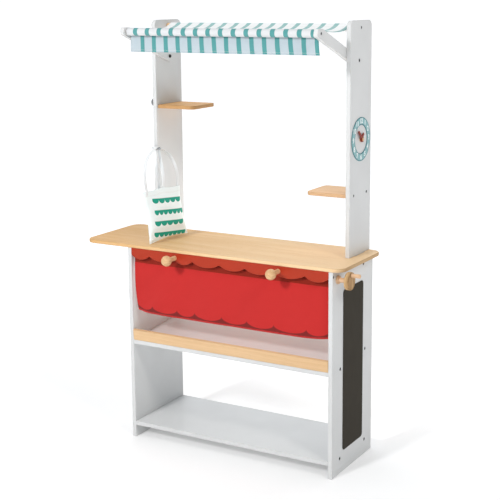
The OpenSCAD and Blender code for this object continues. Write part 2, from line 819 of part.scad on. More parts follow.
module bag_straps() color(canvas) in_frame() {
    bag_strap(1, strap_x, -1);
    bag_strap(-1, strap_x - strap_w - strap_gap, 1);
}

// Roller with a journal at each end; the right one carries the crank
module curtain_roller() color(natural_wood) in_frame() {
    rod_x(-panel_in + end_play, panel_in - end_play, roller_back, roller_z, roller_d);
    rod_x(-panel_in - left_journal, -panel_in + cut, roller_back, roller_z, journal_d);
    rod_x(panel_in - cut, journal_tip, roller_back, roller_z, journal_d);
}
module crank_bush() color(natural_wood) in_frame() difference() {
    union() {
        rod_x(panel_in, panel_out, roller_back, roller_z, bush_d);
        rod_x(panel_out, panel_out + flange_t, roller_back, roller_z, flange_d);
    }
    rod_x(panel_in - cut, panel_out + flange_t + cut, roller_back, roller_z, journal_d + 2 * slip);
}
module roller_bush() color(natural_wood) in_frame() difference() {
    rod_x(-panel_in - left_bush, -panel_in, roller_back, roller_z, bush_d);
    rod_x(-panel_in - left_journal - end_play, -panel_in + cut, roller_back, roller_z,
        journal_d + 2 * slip);
}

// Crank wheel: a bevelled disc with a socket for the journal and one for the handle
module crank_wheel() color(natural_wood) in_frame() difference() {
    translate([wheel_x, roller_back, roller_z]) rotate([0, 90, 0]) rotate_extrude()
        polygon([
            [0, 0], [wheel_d / 2 - wheel_bevel, 0], [wheel_d / 2, wheel_bevel],
            [wheel_d / 2, wheel_t - wheel_bevel], [wheel_d / 2 - wheel_bevel, wheel_t], [0, wheel_t]
        ]);
    rod_x(wheel_x - cut, journal_tip + slip, roller_back, roller_z, journal_d + 2 * slip);
    rod_x(wheel_x + skin - slip, wheel_x + wheel_t + cut, roller_back, roller_z + handle_off,
        spigot_d + 2 * slip);
}
module crank_handle() color(natural_wood) in_frame()
    translate([wheel_x + wheel_t, roller_back, roller_z + handle_off]) rotate([0, 90, 0]) rotate_extrude()
        union() {
            translate([0, skin - wheel_t]) square([spigot_d / 2, wheel_t - skin + lap]);
            polygon([
                [0, 0], [handle_d / 2, 0], [handle_d / 2, handle_l - handle_chamfer],
                [handle_d / 2 - handle_chamfer, handle_l], [0, handle_l]
            ]);
        }
module curtain_winding() color(red_cloth) in_frame() difference() {
    rod_x(-curtain_half, curtain_half, roller_back, roller_z, winding_d);
    rod_x(-curtain_half - cut, curtain_half + cut, roller_back, roller_z, roller_d + 2 * slip);
}
module curtain() color(red_cloth) in_frame()
    cloth_sheet(48, 10, curtain_t, function(u, v) curtain_pt(u, v));

// Fasteners
module shelf_bolts() color(bolt_grey) in_frame()
    for (side = [-1, 1], p = shelf_bolts_at())
        fastener(side, panel_out, p[0], p[1], head_d, head_h, shank_d, shelf_bolt_l);
module shelf_barrel_nuts() color(bolt_grey) in_frame()
    for (side = [-1, 1], p = shelf_bolts_at()) difference() {
        translate([side * (panel_in - barrel_in), p[0], p[1]]) rotate([p[2], 0, 0])
            translate([0, 0, -barrel_l / 2]) cylinder(h = barrel_l, d = barrel_d);
        fastener(side, panel_out, p[0], p[1], head_d, head_h, shank_d, shelf_bolt_l, slip);
    }
module upright_bolt(side, play = 0)
    fastener(side, panel_out, upright_mid, panel_h - upright_bolt_below, head_d, head_h, shank_d,
        2 * board_t - sunk + nut_t - lap, play);
module upright_bolts() color(bolt_grey) in_frame() for (side = [-1, 1]) upright_bolt(side);
module upright_nuts() color(bolt_grey) in_frame() for (side = [-1, 1]) difference() {
    rod_x(side * upright_in, side * (upright_in - nut_t), upright_mid, panel_h - upright_bolt_below,
        nut_d);
    upright_bolt(side, slip);
}
module display_screw(side, dy, play = 0)
    fastener(side, panel_in, upright_mid + dy, display_z(side) + display_t / 2, screw_head_d,
        screw_head_h, screw_d, display_screw_l, play);
module display_shelf_screws() color(bolt_grey) in_frame()
    for (side = [-1, 1], dy = [-display_bolt, display_bolt]) display_screw(side, dy);
module arm_bolt(side, play = 0)
    fastener(side, panel_in, arm_bolt_y, arm_bolt_z, head_d, head_h, shank_d,
        board_t + arm_t - sunk + nut_t - lap, play);
module arm_bolts() color(bolt_grey) in_frame() for (side = [-1, 1]) arm_bolt(side);
module arm_nuts() color(bolt_grey) in_frame() for (side = [-1, 1]) difference() {
    rod_x(side * arm_in, side * (arm_in - nut_t), arm_bolt_y, arm_bolt_z, nut_d);
    arm_bolt(side, slip);
}
module rear_pole_screw(side, play = 0)
    fastener(side, panel_in, upright_mid, rear_pole_z, screw_head_d, screw_head_h, screw_d,
        board_t + pole_screw_l - skin, play);
module rear_pole_screws() color(bolt_grey) in_frame() for (side = [-1, 1]) rear_pole_screw(side);
module front_pole_screw(side, play = 0)
    fastener(side, upright_in, front_pole_y, front_pole_z, screw_head_d, screw_head_h, screw_d,
        arm_t + pole_screw_l - skin, play);
module front_pole_screws() color(bolt_grey) in_frame() for (side = [-1, 1]) front_pole_screw(side);
module valance_screw(side, play = 0)
    fastener(side, panel_out, board_t / 2, panel_h - valance_screw_below, screw_head_d,
        screw_head_h, screw_d, valance_screw_l, play);
module valance_screws() color(bolt_grey) in_frame() for (side = [-1, 1]) valance_screw(side);

left_side_panel();
right_side_panel();
lower_shelf();
middle_shelf();
shelf_lip();
counter_top();
counter_dowels();
front_valance();
left_valance_peg();
right_valance_peg();
chalkboard();
left_upright();
right_upright();
left_display_shelf();
right_display_shelf();
rear_pole();
front_pole();
left_awning_arm();
right_awning_arm();
awning_canopy();
awning_frill();
clock_ring();
clock_pin();
hour_hand();
minute_hand();
side_knob();
bag_hook();
bag();
bag_straps();
curtain_roller();
crank_bush();
roller_bush();
crank_wheel();
crank_handle();
curtain_winding();
curtain();
shelf_bolts();
shelf_barrel_nuts();
upright_bolts();
upright_nuts();
display_shelf_screws();
arm_bolts();
arm_nuts();
rear_pole_screws();
front_pole_screws();
valance_screws();
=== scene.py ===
"""Dresses the toy market stall in its CAD frame: boards, cloth, clock, bag, fasteners and studio."""

import logging
import math
from collections.abc import Callable, Sequence
from dataclasses import dataclass
from enum import Enum
from typing import Any

import bmesh
import bpy
from bmesh.types import BMEdge, BMesh, BMVert
from bpy.types import ColorRamp, Material, Mesh, NodeSocket, NodeTree, Object
from mathutils import Matrix, Vector


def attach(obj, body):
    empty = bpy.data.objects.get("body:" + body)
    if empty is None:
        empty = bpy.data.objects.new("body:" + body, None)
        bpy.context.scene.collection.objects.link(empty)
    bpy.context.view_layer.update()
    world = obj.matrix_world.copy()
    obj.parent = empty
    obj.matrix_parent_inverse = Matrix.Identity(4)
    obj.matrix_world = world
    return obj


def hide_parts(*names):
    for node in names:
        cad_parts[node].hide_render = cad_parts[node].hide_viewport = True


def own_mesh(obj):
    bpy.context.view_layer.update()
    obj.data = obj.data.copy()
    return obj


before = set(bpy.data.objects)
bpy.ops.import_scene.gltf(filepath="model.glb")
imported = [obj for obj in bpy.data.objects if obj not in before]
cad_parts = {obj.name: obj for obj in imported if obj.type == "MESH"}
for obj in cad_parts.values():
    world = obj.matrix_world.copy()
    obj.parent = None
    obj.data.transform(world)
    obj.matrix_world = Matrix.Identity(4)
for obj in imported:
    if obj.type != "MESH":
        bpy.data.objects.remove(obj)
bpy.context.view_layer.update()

LOG = logging.getLogger("market_stall")
MM = 0.001
STALL_SHIFT = Vector((42.5, -100.25, 0.0))
CLOTH_CREASE = 60.0
BUMP_STRENGTH = 0.6
PANEL_FACE = 320.0
UPRIGHT_FACE = 308.0
UPRIGHT_MIDDLE = 189.5
FRONT_POLE = (-20.0, 1162.0)
REAR_POLE = (UPRIGHT_MIDDLE, 1171.0)
Pair = tuple[float, float]
Triple = tuple[float, float, float]
Colour = Triple
Rule = Callable[[float, float], Vector]
FlatRule = Callable[[float, float], Pair]


def at(x: float, y: float, z: float) -> Vector:
    """Turns a place on the stall, in millimetres from its middle, front and floor, into the CAD frame."""
    return (Vector((x, y, z)) + STALL_SHIFT) * MM


def linear(red: float, green: float, blue: float) -> tuple[float, float, float, float]:
    """Turns a screen colour into a shader colour.

    Args:
        red: Its red, from 0 to 255.
        green: Its green.
        blue: Its blue.

    Returns:
        The colour, with an alpha of 1.
    """
    share = [c / 255 for c in (red, green, blue)]
    bent = [c / 12.92 if c <= 0.04045 else ((c + 0.055) / 1.055) ** 2.4 for c in share]
    return (bent[0], bent[1], bent[2], 1.0)


def darker(colour: Colour, share: float) -> tuple[float, float, float, float]:
    """Gives the shader colour of a screen colour that is darkened to a share of itself."""
    return linear(*(c * share for c in colour))


def bend(corners: Sequence[Vector], steps: int) -> list[Vector]:
    """Draws a smooth curve that leaves its first corner towards the second and reaches the last from the third.

    Args:
        corners: Its four corners.
        steps: How many steps it is drawn in.

    Returns:
        The curve's points.
    """
    first, second, third, last = corners
    line = []
    for i in range(steps + 1):
        t = i / steps
        k = 1 - t
        line.append(first * k**3 + second * (3 * t * k * k) + third * (3 * t * t * k) + last * t**3)
    return line


class Grain(Enum):
    """The way that a board's fibres run, as the stretch of its pattern along X, Y and Z."""

    ALONG_X = (1.0, 16.0, 16.0)
    ALONG_Y = (16.0, 1.0, 16.0)
    ALONG_Z = (16.0, 16.0, 1.0)


class Body(Enum):
    """The moving bodies that pieces ride on."""

    STALL = "stall"
    CRANK = "crank"
    HOUR = "hour_hand"
    MINUTE = "minute_hand"
    BAG = "bag"


class Way(Enum):
    """The ways that the axis of a turned piece points."""

    LEFT = (-1.0, 0.0, 0.0)
    RIGHT = (1.0, 0.0, 0.0)
    FRONT = (0.0, -1.0, 0.0)


class Signal:
    """An output socket that takes part in arithmetic by adding Math nodes."""

    def __init__(self, graph: "Graph", socket: NodeSocket) -> None:
        """Keeps the socket and the graph it belongs to."""
        self.graph = graph
        self.socket = socket

    def maths(self, operation: str, first: Any, second: Any = 0.0) -> "Signal":
        """Adds one Math node on two values or links."""
        return self.graph.node("ShaderNodeMath", {"operation": operation}, {0: first, 1: second})

    def __add__(self, other: Any) -> "Signal":
        """Adds."""
        return self.maths("ADD", self, other)

    def __radd__(self, other: Any) -> "Signal":
        """Adds, from the right."""
        return self.maths("ADD", other, self)

    def __sub__(self, other: Any) -> "Signal":
        """Subtracts."""
        return self.maths("SUBTRACT", self, other)

    def __rsub__(self, other: Any) -> "Signal":
        """Subtracts, from the right."""
        return self.maths("SUBTRACT", other, self)

    def __mul__(self, other: Any) -> "Signal":
        """Multiplies."""
        return self.maths("MULTIPLY", self, other)

    def __rmul__(self, other: Any) -> "Signal":
        """Multiplies, from the right."""
        return self.maths("MULTIPLY", other, self)

    def __truediv__(self, other: Any) -> "Signal":
        """Divides."""
        return self.maths("DIVIDE", self, other)

    def __abs__(self) -> "Signal":
        """Drops the sign."""
        return self.maths("ABSOLUTE", self)


class Graph:
    """A node tree that grows by one method."""

    def __init__(self, tree: NodeTree) -> None:
        """Keeps the tree."""
        self.tree = tree

    @staticmethod
    def _find(sockets: Any, key: int | str) -> NodeSocket:
        """Finds a socket.

        Args:
            sockets: A node's inputs or outputs.
            key: The socket's place, identifier or name.

        Returns:
            The socket.
        """
        if isinstance(key, int):
            return sockets[key]
        return next((s for s in sockets if s.identifier == key), None) or sockets[key]

    def node(
        self,
        kind: str,
        settings: dict[str, Any] | None = None,
        sockets: dict[int | str, Any] | None = None,
        out: int | str = 0,
    ) -> Signal:
        """Adds a node.

        Args:
            kind: The node's type.
            settings: Its properties, set first; "stops" fills a colour ramp.
            sockets: Values or links of its inputs, by place, identifier or name.
            out: The output that is wanted.

        Returns:
            The wanted output.
        """
        made = self.tree.nodes.new(kind)
        for name, value in (settings or {}).items():
            if name == "stops":
                self._fill_ramp(made.color_ramp, value)
            else:
                setattr(made, name, value)
        for key, value in (sockets or {}).items():
            socket = self._find(made.inputs, key)
            if isinstance(value, Signal):
                self.tree.links.new(value.socket, socket)
            else:
                socket.default_value = value
        return Signal(self, self._find(made.outputs, out))

    @staticmethod
    def _fill_ramp(ramp: ColorRamp, stops: Sequence[tuple[float, Sequence[float]]]) -> None:
        """Sets a colour ramp's stops.

        Args:
            ramp: The ramp.
            stops: The place and the colour of each stop.
        """
        while len(ramp.elements) < len(stops):
            ramp.elements.new(0.5)
        for element, (place, colour) in zip(ramp.elements, stops):
            element.position = place
            element.color = colour

    def axis(self, vector: Signal, name: str) -> Signal:
        """Gives one axis of a vector."""
        return self.node("ShaderNodeSeparateXYZ", {}, {0: vector}, name)


class Recipe(Graph):
    """The shader of one finish."""

    def __init__(self, name: str) -> None:
        """Starts a material with an empty tree and one shader.

        Args:
            name: The material's name.
        """
        self.material = bpy.data.materials.new(name)
        self.material.use_nodes = True
        super().__init__(self.material.node_tree)
        self.tree.nodes.clear()
        self.shader = self.tree.nodes.new("ShaderNodeBsdfPrincipled")
        output = self.tree.nodes.new("ShaderNodeOutputMaterial")
        self.tree.links.new(self.shader.outputs["BSDF"], output.inputs["Surface"])

    def place(self) -> Signal:
        """Gives the object's own coordinates, in metres."""
        return self.node("ShaderNodeTexCoord", out="Object")

    def flat(self, name: str) -> Signal:
        """Gives a UV map, in that map's own units."""
        return self.node("ShaderNodeUVMap", {"uv_map": name})

    def map_axis(self, name: str, axis: str) -> Signal:
        """Gives one axis of a UV map."""
        return self.axis(self.flat(name), axis)

    def rim(self) -> Signal:
        """Gives the mark that a board's rounded rims carry."""
        return self.node("ShaderNodeAttribute", {"attribute_name": "rim"}, {}, "Fac")

    def stretched(self, vector: Signal, scale: Sequence[float]) -> Signal:
        """Scales a vector along each axis."""
        return self.node("ShaderNodeVectorMath", {"operation": "MULTIPLY"}, {0: vector, 1: scale})

    def noise(self, vector: Signal, scale: float, detail: float = 2.0, rough: float = 0.5) -> Signal:
        """Gives soft noise from 0 to 1."""
        sockets = {"Vector": vector, "Scale": scale, "Detail": detail, "Roughness": rough}
        return self.node("ShaderNodeTexNoise", {}, sockets)

    def step(self, value: Signal, edge: float, soft: float) -> Signal:
        """Gives 0 below an edge and 1 above it, over a soft width."""
        sockets = {0: value, 1: edge - soft, 2: edge + soft}
        return self.node("ShaderNodeMapRange", {"interpolation_type": "SMOOTHSTEP"}, sockets)

    def mix(self, factor: Signal, first: Any, second: Any) -> Signal:
        """Mixes two colours."""
        sockets = {"Factor_Float": factor, "A_Color": first, "B_Color": second}
        return self.node("ShaderNodeMix", {"data_type": "RGBA"}, sockets, "Result_Color")

    def arch(self, phase: Signal) -> Signal:
        """Gives a row of round arches, one for each whole step of the phase."""
        across = (phase.maths("FRACT", phase) - 0.5) * 2.0
        return across.maths("SQRT", across.maths("MAXIMUM", 1.0 - across * across, 0.0))

    def dress(
        self, colour: Signal, roughness: Signal, height: Signal, depth: float, constants: dict[str, Any]
    ) -> Material:
        """Joins the finish to its shader.

        Args:
            colour: What feeds Base Color.
            roughness: What feeds Roughness.
            height: What feeds the Bump node.
            depth: The bump's depth in metres.
            constants: Sockets of the shader that are the same all over.

        Returns:
            The finished material.
        """
        bump = self.node("ShaderNodeBump", {}, {"Height": height, "Distance": depth, "Strength": BUMP_STRENGTH})
        for signal, name in ((colour, "Base Color"), (roughness, "Roughness"), (bump, "Normal")):
            self.tree.links.new(signal.socket, self.shader.inputs[name])
        for name, value in constants.items():
            self.shader.inputs[name].default_value = value
        return self.material


@dataclass(frozen=True)
class PaintedWood:
    """Sprayed paint on board: a faint orange peel, telegraphed grain and worn rims."""

    name: str
    colour: Colour
    rim: Colour
    grain: Grain = Grain.ALONG_Z
    rough: float = 0.42
    wear: float = 0.5
    gloss: float = 0.22
    deep: float = 0.94
    fibre_scale: float = 22.0
    peel_scale: float = 700.0
    cloud_scale: float = 9.0
    chip_scale: float = 130.0
    chip_edge: Pair = (0.58, 0.08)
    chip_noise: Pair = (3.0, 0.65)
    rough_vary: float = 0.12
    worn_rough: float = 0.15
    relief: float = 0.0002

    def lined(self, mix: Recipe, paint: Signal) -> Signal:
        """Gives the paint with its lines; plain paint has none."""
        return paint

    def material(self) -> Material:
        """Builds the paint.

        Returns:
            Its material.
        """
        mix = Recipe(self.name)
        place = mix.place()
        fibres = mix.noise(mix.stretched(place, self.grain.value), self.fibre_scale, 3.0)
        peel = mix.noise(place, self.peel_scale, 1.0)
        cloud = mix.noise(place, self.cloud_scale)
        paint = self.lined(mix, mix.mix(cloud, darker(self.colour, self.deep), linear(*self.colour)))
        chips = mix.step(mix.noise(place, self.chip_scale, *self.chip_noise), *self.chip_edge)
        worn = mix.rim() * chips * self.wear
        return mix.dress(
            mix.mix(worn, paint, linear(*self.rim)),
            self.rough - self.rough_vary / 2 + cloud * self.rough_vary + worn * self.worn_rough,
            peel * 0.5 + fibres * 0.5,
            self.relief,
            {"Specular IOR Level": self.gloss},
        )


@dataclass(frozen=True)
class DialPaint(PaintedWood):
    """Paint of the clock's ring, with a darker line along both of its edges, in metres."""

    line: Colour = (66, 126, 134)
    centre: Pair = (0.08925, 0.88)
    radii: Pair = (0.039, 0.057)
    half_line: float = 0.0011
    line_soft: float = 0.0002

    def lined(self, mix: Recipe, paint: Signal) -> Signal:
        """Draws both lines round the clock's centre.

        Args:
            mix: The recipe that the lines' nodes go into.
            paint: The paint's colour.

        Returns:
            The colour with its lines.
        """
        y, z = (mix.axis(mix.place(), axis) - middle for axis, middle in zip("YZ", self.centre))
        reach = y.maths("SQRT", y * y + z * z)
        inner, outer = (1.0 - mix.step(abs(reach - r), self.half_line, self.line_soft) for r in self.radii)
        return mix.mix(inner + outer, paint, linear(*self.line))


@dataclass(frozen=True)
class BareWood:
    """Oiled pale wood: long growth bands, short fibres, open pores and softer rims."""

    name: str
    light: Colour
    dark: Colour
    grain: Grain = Grain.ALONG_X
    rough: float = 0.56
    streak: float = 0.14
    # drift is painted shade: the wood darkens towards the left, where less light reaches.
    drift: float = 0.0
    ends: float = 0.0
    fronts: float = 0.0
    deep: float = 0.78
    warp_scale: float = 2.2
    band_scale: float = 1.6
    fibre_scale: float = 34.0
    pore_scale: float = 46.0
    pore_stretch: Triple = (1.0, 2.4, 2.4)
    pore_edge: Pair = (0.66, 0.05)
    tones: Pair = (0.26, 0.8)
    warp_share: float = 0.4
    fibre_share: float = 0.3
    fibre_noise: Pair = (4.0, 0.62)
    pore_dark: float = 0.35
    rim_dark: float = 0.12
    rough_vary: Pair = (0.06, 0.16)
    fibre_rise: float = 0.7
    pore_sink: float = 0.6
    gloss: float = 0.15
    relief: float = 0.00022

    def material(self) -> Material:
        """Builds the wood, which may carry painted shade that deepens slowly towards the left, away from the fill
        light, and darkens on its ends and fronts.

        Returns:
            Its material.
        """
        mix = Recipe(self.name)
        run = mix.stretched(mix.place(), self.grain.value)
        warp = mix.noise(run, self.warp_scale)
        growth = mix.node(
            "ShaderNodeTexWave",
            {"wave_type": "RINGS", "rings_direction": "SPHERICAL", "wave_profile": "SAW"},
            {"Vector": run, "Scale": self.band_scale, "Distortion": 9.0, "Detail": 3.0, "Detail Scale": 1.4},
            "Fac",
        )
        fibres = mix.noise(run, self.fibre_scale, *self.fibre_noise)
        pores = mix.step(mix.noise(mix.stretched(run, self.pore_stretch), self.pore_scale), *self.pore_edge)
        # Painted shade: darkens the tone towards the left by drift.
        left = mix.axis(mix.place(), "X") * -self.drift
        tone = warp * self.warp_share + growth * self.streak + fibres * self.fibre_share + left
        stops = tuple(zip(self.tones, (linear(*self.light), linear(*self.dark))))
        wood = mix.node("ShaderNodeValToRGB", {"stops": stops}, {"Fac": tone}, "Color")
        facing = mix.node("ShaderNodeNewGeometry", out="Normal")
        edge = abs(mix.axis(facing, "X")) * self.ends + abs(mix.axis(facing, "Y")) * self.fronts
        shade = pores * self.pore_dark + mix.rim() * self.rim_dark + edge
        smoother, spread = self.rough_vary
        return mix.dress(
            mix.mix(shade, wood, darker(self.dark, self.deep)),
            self.rough - smoother + fibres * spread,
            fibres * self.fibre_rise - pores * self.pore_sink,
            self.relief,
            {"Specular IOR Level": self.gloss},
        )


@dataclass(frozen=True)
class Weave:
    """Plain woven cloth: yarns over and under, slubs and a soft sheen, with an optional print."""

    name: str
    colour: Colour
    yarn: float = 0.0011
    sheen: float = 0.18
    deep: float = 0.91
    slub_scale: Pair = (60.0, 900.0)
    relief: float = 0.00025
    gloss: float = 0.2
    rough: float = 0.86
    rough_vary: float = 0.08

    def ground(self, mix: Recipe) -> tuple[Signal, Signal]:
        """Gives the bare cloth.

        Args:
            mix: The recipe that the cloth's nodes go into.

        Returns:
            Its colour and the height of its yarns.
        """
        turn = math.tau / (2 * self.yarn)
        warp, weft = (mix.map_axis("cloth", axis) * turn for axis in "XY")
        height = warp.maths("SINE", warp) * weft.maths("SINE", weft) * 0.5 + 0.5
        flat = mix.flat("cloth")
        slow, fast = self.slub_scale
        slub = mix.noise(mix.stretched(flat, (slow, fast, 1.0)), 1.0) * 0.5
        slub = slub + mix.noise(mix.stretched(flat, (fast, slow, 1.0)), 1.0) * 0.5
        return mix.mix(slub * 0.7 + height * 0.3, darker(self.colour, self.deep), linear(*self.colour)), height

    def printed(self, mix: Recipe, cloth: Signal) -> Signal:
        """Gives the cloth's colour with its print; plain cloth has none."""
        return cloth

    def material(self) -> Material:
        """Builds the cloth.

        Returns:
            Its material.
        """
        mix = Recipe(self.name)
        cloth, height = self.ground(mix)
        rough = self.rough + height * self.rough_vary
        constants = {"Sheen Weight": self.sheen, "Sheen Roughness": 0.5, "Specular IOR Level": self.gloss}
        return mix.dress(self.printed(mix, cloth), rough, height, self.relief, constants)


@dataclass(frozen=True)
class StripedCloth(Weave):
    """Cloth with woven stripes across its width, in metres from its middle, and a painted highlight on its top."""

    stripe: Colour = (84, 151, 151)
    period: float = 0.0378
    share: float = 0.35
    stripe_soft: float = 0.012
    first: float = 0.0
    bare_to: float = -1.0
    bare_soft: float = 0.001
    wobble: float = 0.05
    wobble_scale: float = 26.0
    # Painted light: past a way along the cloth, its ground and stripes turn lighter where the top faces the overhead
    # light.
    top_light: float = 0.85
    top_light_from: float = 1.0
    top_light_soft: float = 0.006
    lit_top: Colour = (246, 247, 247)
    lit_top_stripe: Colour = (148, 190, 188)

    def printed(self, mix: Recipe, cloth: Signal) -> Signal:
        """Lays the stripes over the cloth, apart from a bare strip at its left edge, and paints light on its top.

        Args:
            mix: The recipe that the stripes' nodes go into.
            cloth: The bare cloth's colour.

        Returns:
            The striped cloth's colour.
        """
        across, along = mix.map_axis("cloth", "X"), mix.map_axis("cloth", "Y")
        drift = (mix.noise(mix.flat("cloth"), self.wobble_scale, 1.0) - 0.5) * self.wobble
        turn = (across - self.first) / self.period + drift + 0.5
        off = abs(turn.maths("FRACT", turn) - 0.5)
        band = 1.0 - mix.step(off, self.share / 2, self.stripe_soft)
        band = band * mix.step(across, self.bare_to, self.bare_soft)
        # Painted highlight on the top of the canopy; the roll round the front pole stays darker.
        top = mix.step(along, self.top_light_from, self.top_light_soft)
        ground = mix.mix(top * self.top_light, cloth, linear(*self.lit_top))
        stripe = mix.mix(top, linear(*self.stripe), linear(*self.lit_top_stripe))
        return mix.mix(band, ground, stripe)


@dataclass(frozen=True)
class LobedCloth(Weave):
    """Curtain cloth with painted shade along its head, where the valance shades it, and a dark printed band below a row
    of round lobes at its foot, in metres.
    """

    # head is the colour of painted shade: the valance's shade over the curtain's top, down to the shade's drop.
    head: Colour = (136, 31, 13)
    valance_shade_drop: float = 0.0196
    valance_shade_soft: float = 0.001
    band: Colour = (122, 32, 30)
    hem: float = 0.0045
    low: float = 0.008
    peak: float = 0.024
    soft: float = 0.0005

    def printed(self, mix: Recipe, cloth: Signal) -> Signal:
        """Lays the painted shade along the head, and the printed band between the hem and the lobes.

        Args:
            mix: The recipe that the print's nodes go into.
            cloth: The bare cloth's colour.

        Returns:
            The printed cloth's colour.
        """
        phase, height = mix.map_axis("lobes", "X"), mix.map_axis("lobes", "Y")
        top = self.low + (self.peak - self.low) * (1.0 - mix.arch(phase))
        dark = mix.step(top - height, 0.0, self.soft) * mix.step(height, self.hem, self.soft)
        # Painted shade: a dark band along the curtain's top, under the valance.
        head = mix.step(self.valance_shade_drop - mix.map_axis("cloth", "Y"), 0.0, self.valance_shade_soft)
        return mix.mix(head, mix.mix(dark, cloth, linear(*self.band)), linear(*self.head))


@dataclass(frozen=True)
class ScallopCanvas(Weave):
    """Bag canvas with four printed rows of hanging half-round scallops on its front, in metres."""

    ink: Colour = (0, 156, 132)
    tops: tuple[float, ...] = (0.122, 0.089, 0.058, 0.026)
    starts: tuple[float, ...] = (-0.06, -0.057, -0.06, -0.063)
    ends: tuple[float, ...] = (0.054, 0.062, 0.0545, 0.064)
    lobes: tuple[int, ...] = (5, 7, 5, 7)
    slope: float = -0.076
    band: float = 0.004
    drop: float = 0.0102
    soft: float = 0.0005
    fade: float = 0.02
    fade_scale: float = 160.0

    def printed(self, mix: Recipe, cloth: Signal) -> Signal:
        """Lays the rows over the canvas of the front face.

        Args:
            mix: The recipe that the rows' nodes go into.
            cloth: The bare canvas's colour.

        Returns:
            The printed canvas's colour.
        """
        across, up = mix.map_axis("front", "X"), mix.map_axis("front", "Y")
        rows: Signal | None = None
        for top, start, end, count in zip(self.tops, self.starts, self.ends, self.lobes):
            below = top + across * self.slope - up
            reach = self.band + self.drop * mix.arch((across - start) / ((end - start) / count))
            row = mix.step(below, 0.0, self.soft) * mix.step(reach - below, 0.0, self.soft)
            row = row * mix.step(across, start, self.soft) * mix.step(end - across, 0.0, self.soft)
            rows = row if rows is None else rows + row
        faded = rows * (1.0 - self.fade + mix.noise(mix.place(), self.fade_scale) * self.fade)
        return mix.mix(faded, cloth, linear(*self.ink))


@dataclass(frozen=True)
class ChalkPaint:
    """Matt blackboard paint with wiped chalk dust."""

    name: str
    colour: Colour
    dust: Colour
    wipe_stretch: Triple = (1.0, 6.0, 2.2)
    wipe_edge: Pair = (0.55, 0.4)
    wipe_scale: float = 7.0
    wipe_noise: Pair = (4.0, 0.6)
    grit_scale: float = 900.0
    grit_share: float = 0.4
    dusty: float = 0.06
    rough: float = 0.74
    rough_vary: float = 0.14
    gloss: float = 0.2
    relief: float = 0.00015

    def material(self) -> Material:
        """Builds the blackboard paint.

        Returns:
            Its material.
        """
        mix = Recipe(self.name)
        place = mix.place()
        wipe = mix.noise(mix.stretched(place, self.wipe_stretch), self.wipe_scale, *self.wipe_noise)
        grit = mix.noise(place, self.grit_scale)
        haze = mix.step(wipe, *self.wipe_edge) * (1.0 - self.grit_share + grit * self.grit_share) * self.dusty
        colour = mix.mix(haze, linear(*self.colour), linear(*self.dust))
        rough = self.rough + grit * self.rough_vary
        return mix.dress(colour, rough, grit, self.relief, {"Specular IOR Level": self.gloss})


@dataclass(frozen=True)
class Metal:
    """Plated or coated steel with fine turning marks."""

    name: str
    colour: Colour
    metallic: float = 0.8
    rough: float = 0.36
    deep: float = 0.82
    mark_stretch: Triple = (40.0, 1.0, 1.0)
    mark_scale: float = 160.0
    cloud_scale: float = 60.0
    rough_vary: float = 0.14
    relief: float = 0.0001

    def material(self) -> Material:
        """Builds the metal.

        Returns:
            Its material.
        """
        mix = Recipe(self.name)
        place = mix.place()
        marks = mix.noise(mix.stretched(place, self.mark_stretch), self.mark_scale, 3.0)
        cloud = mix.noise(place, self.cloud_scale)
        colour = mix.mix(cloud, darker(self.colour, self.deep), linear(*self.colour))
        rough = self.rough + marks * self.rough_vary
        return mix.dress(colour, rough, marks, self.relief, {"Metallic": self.metallic})


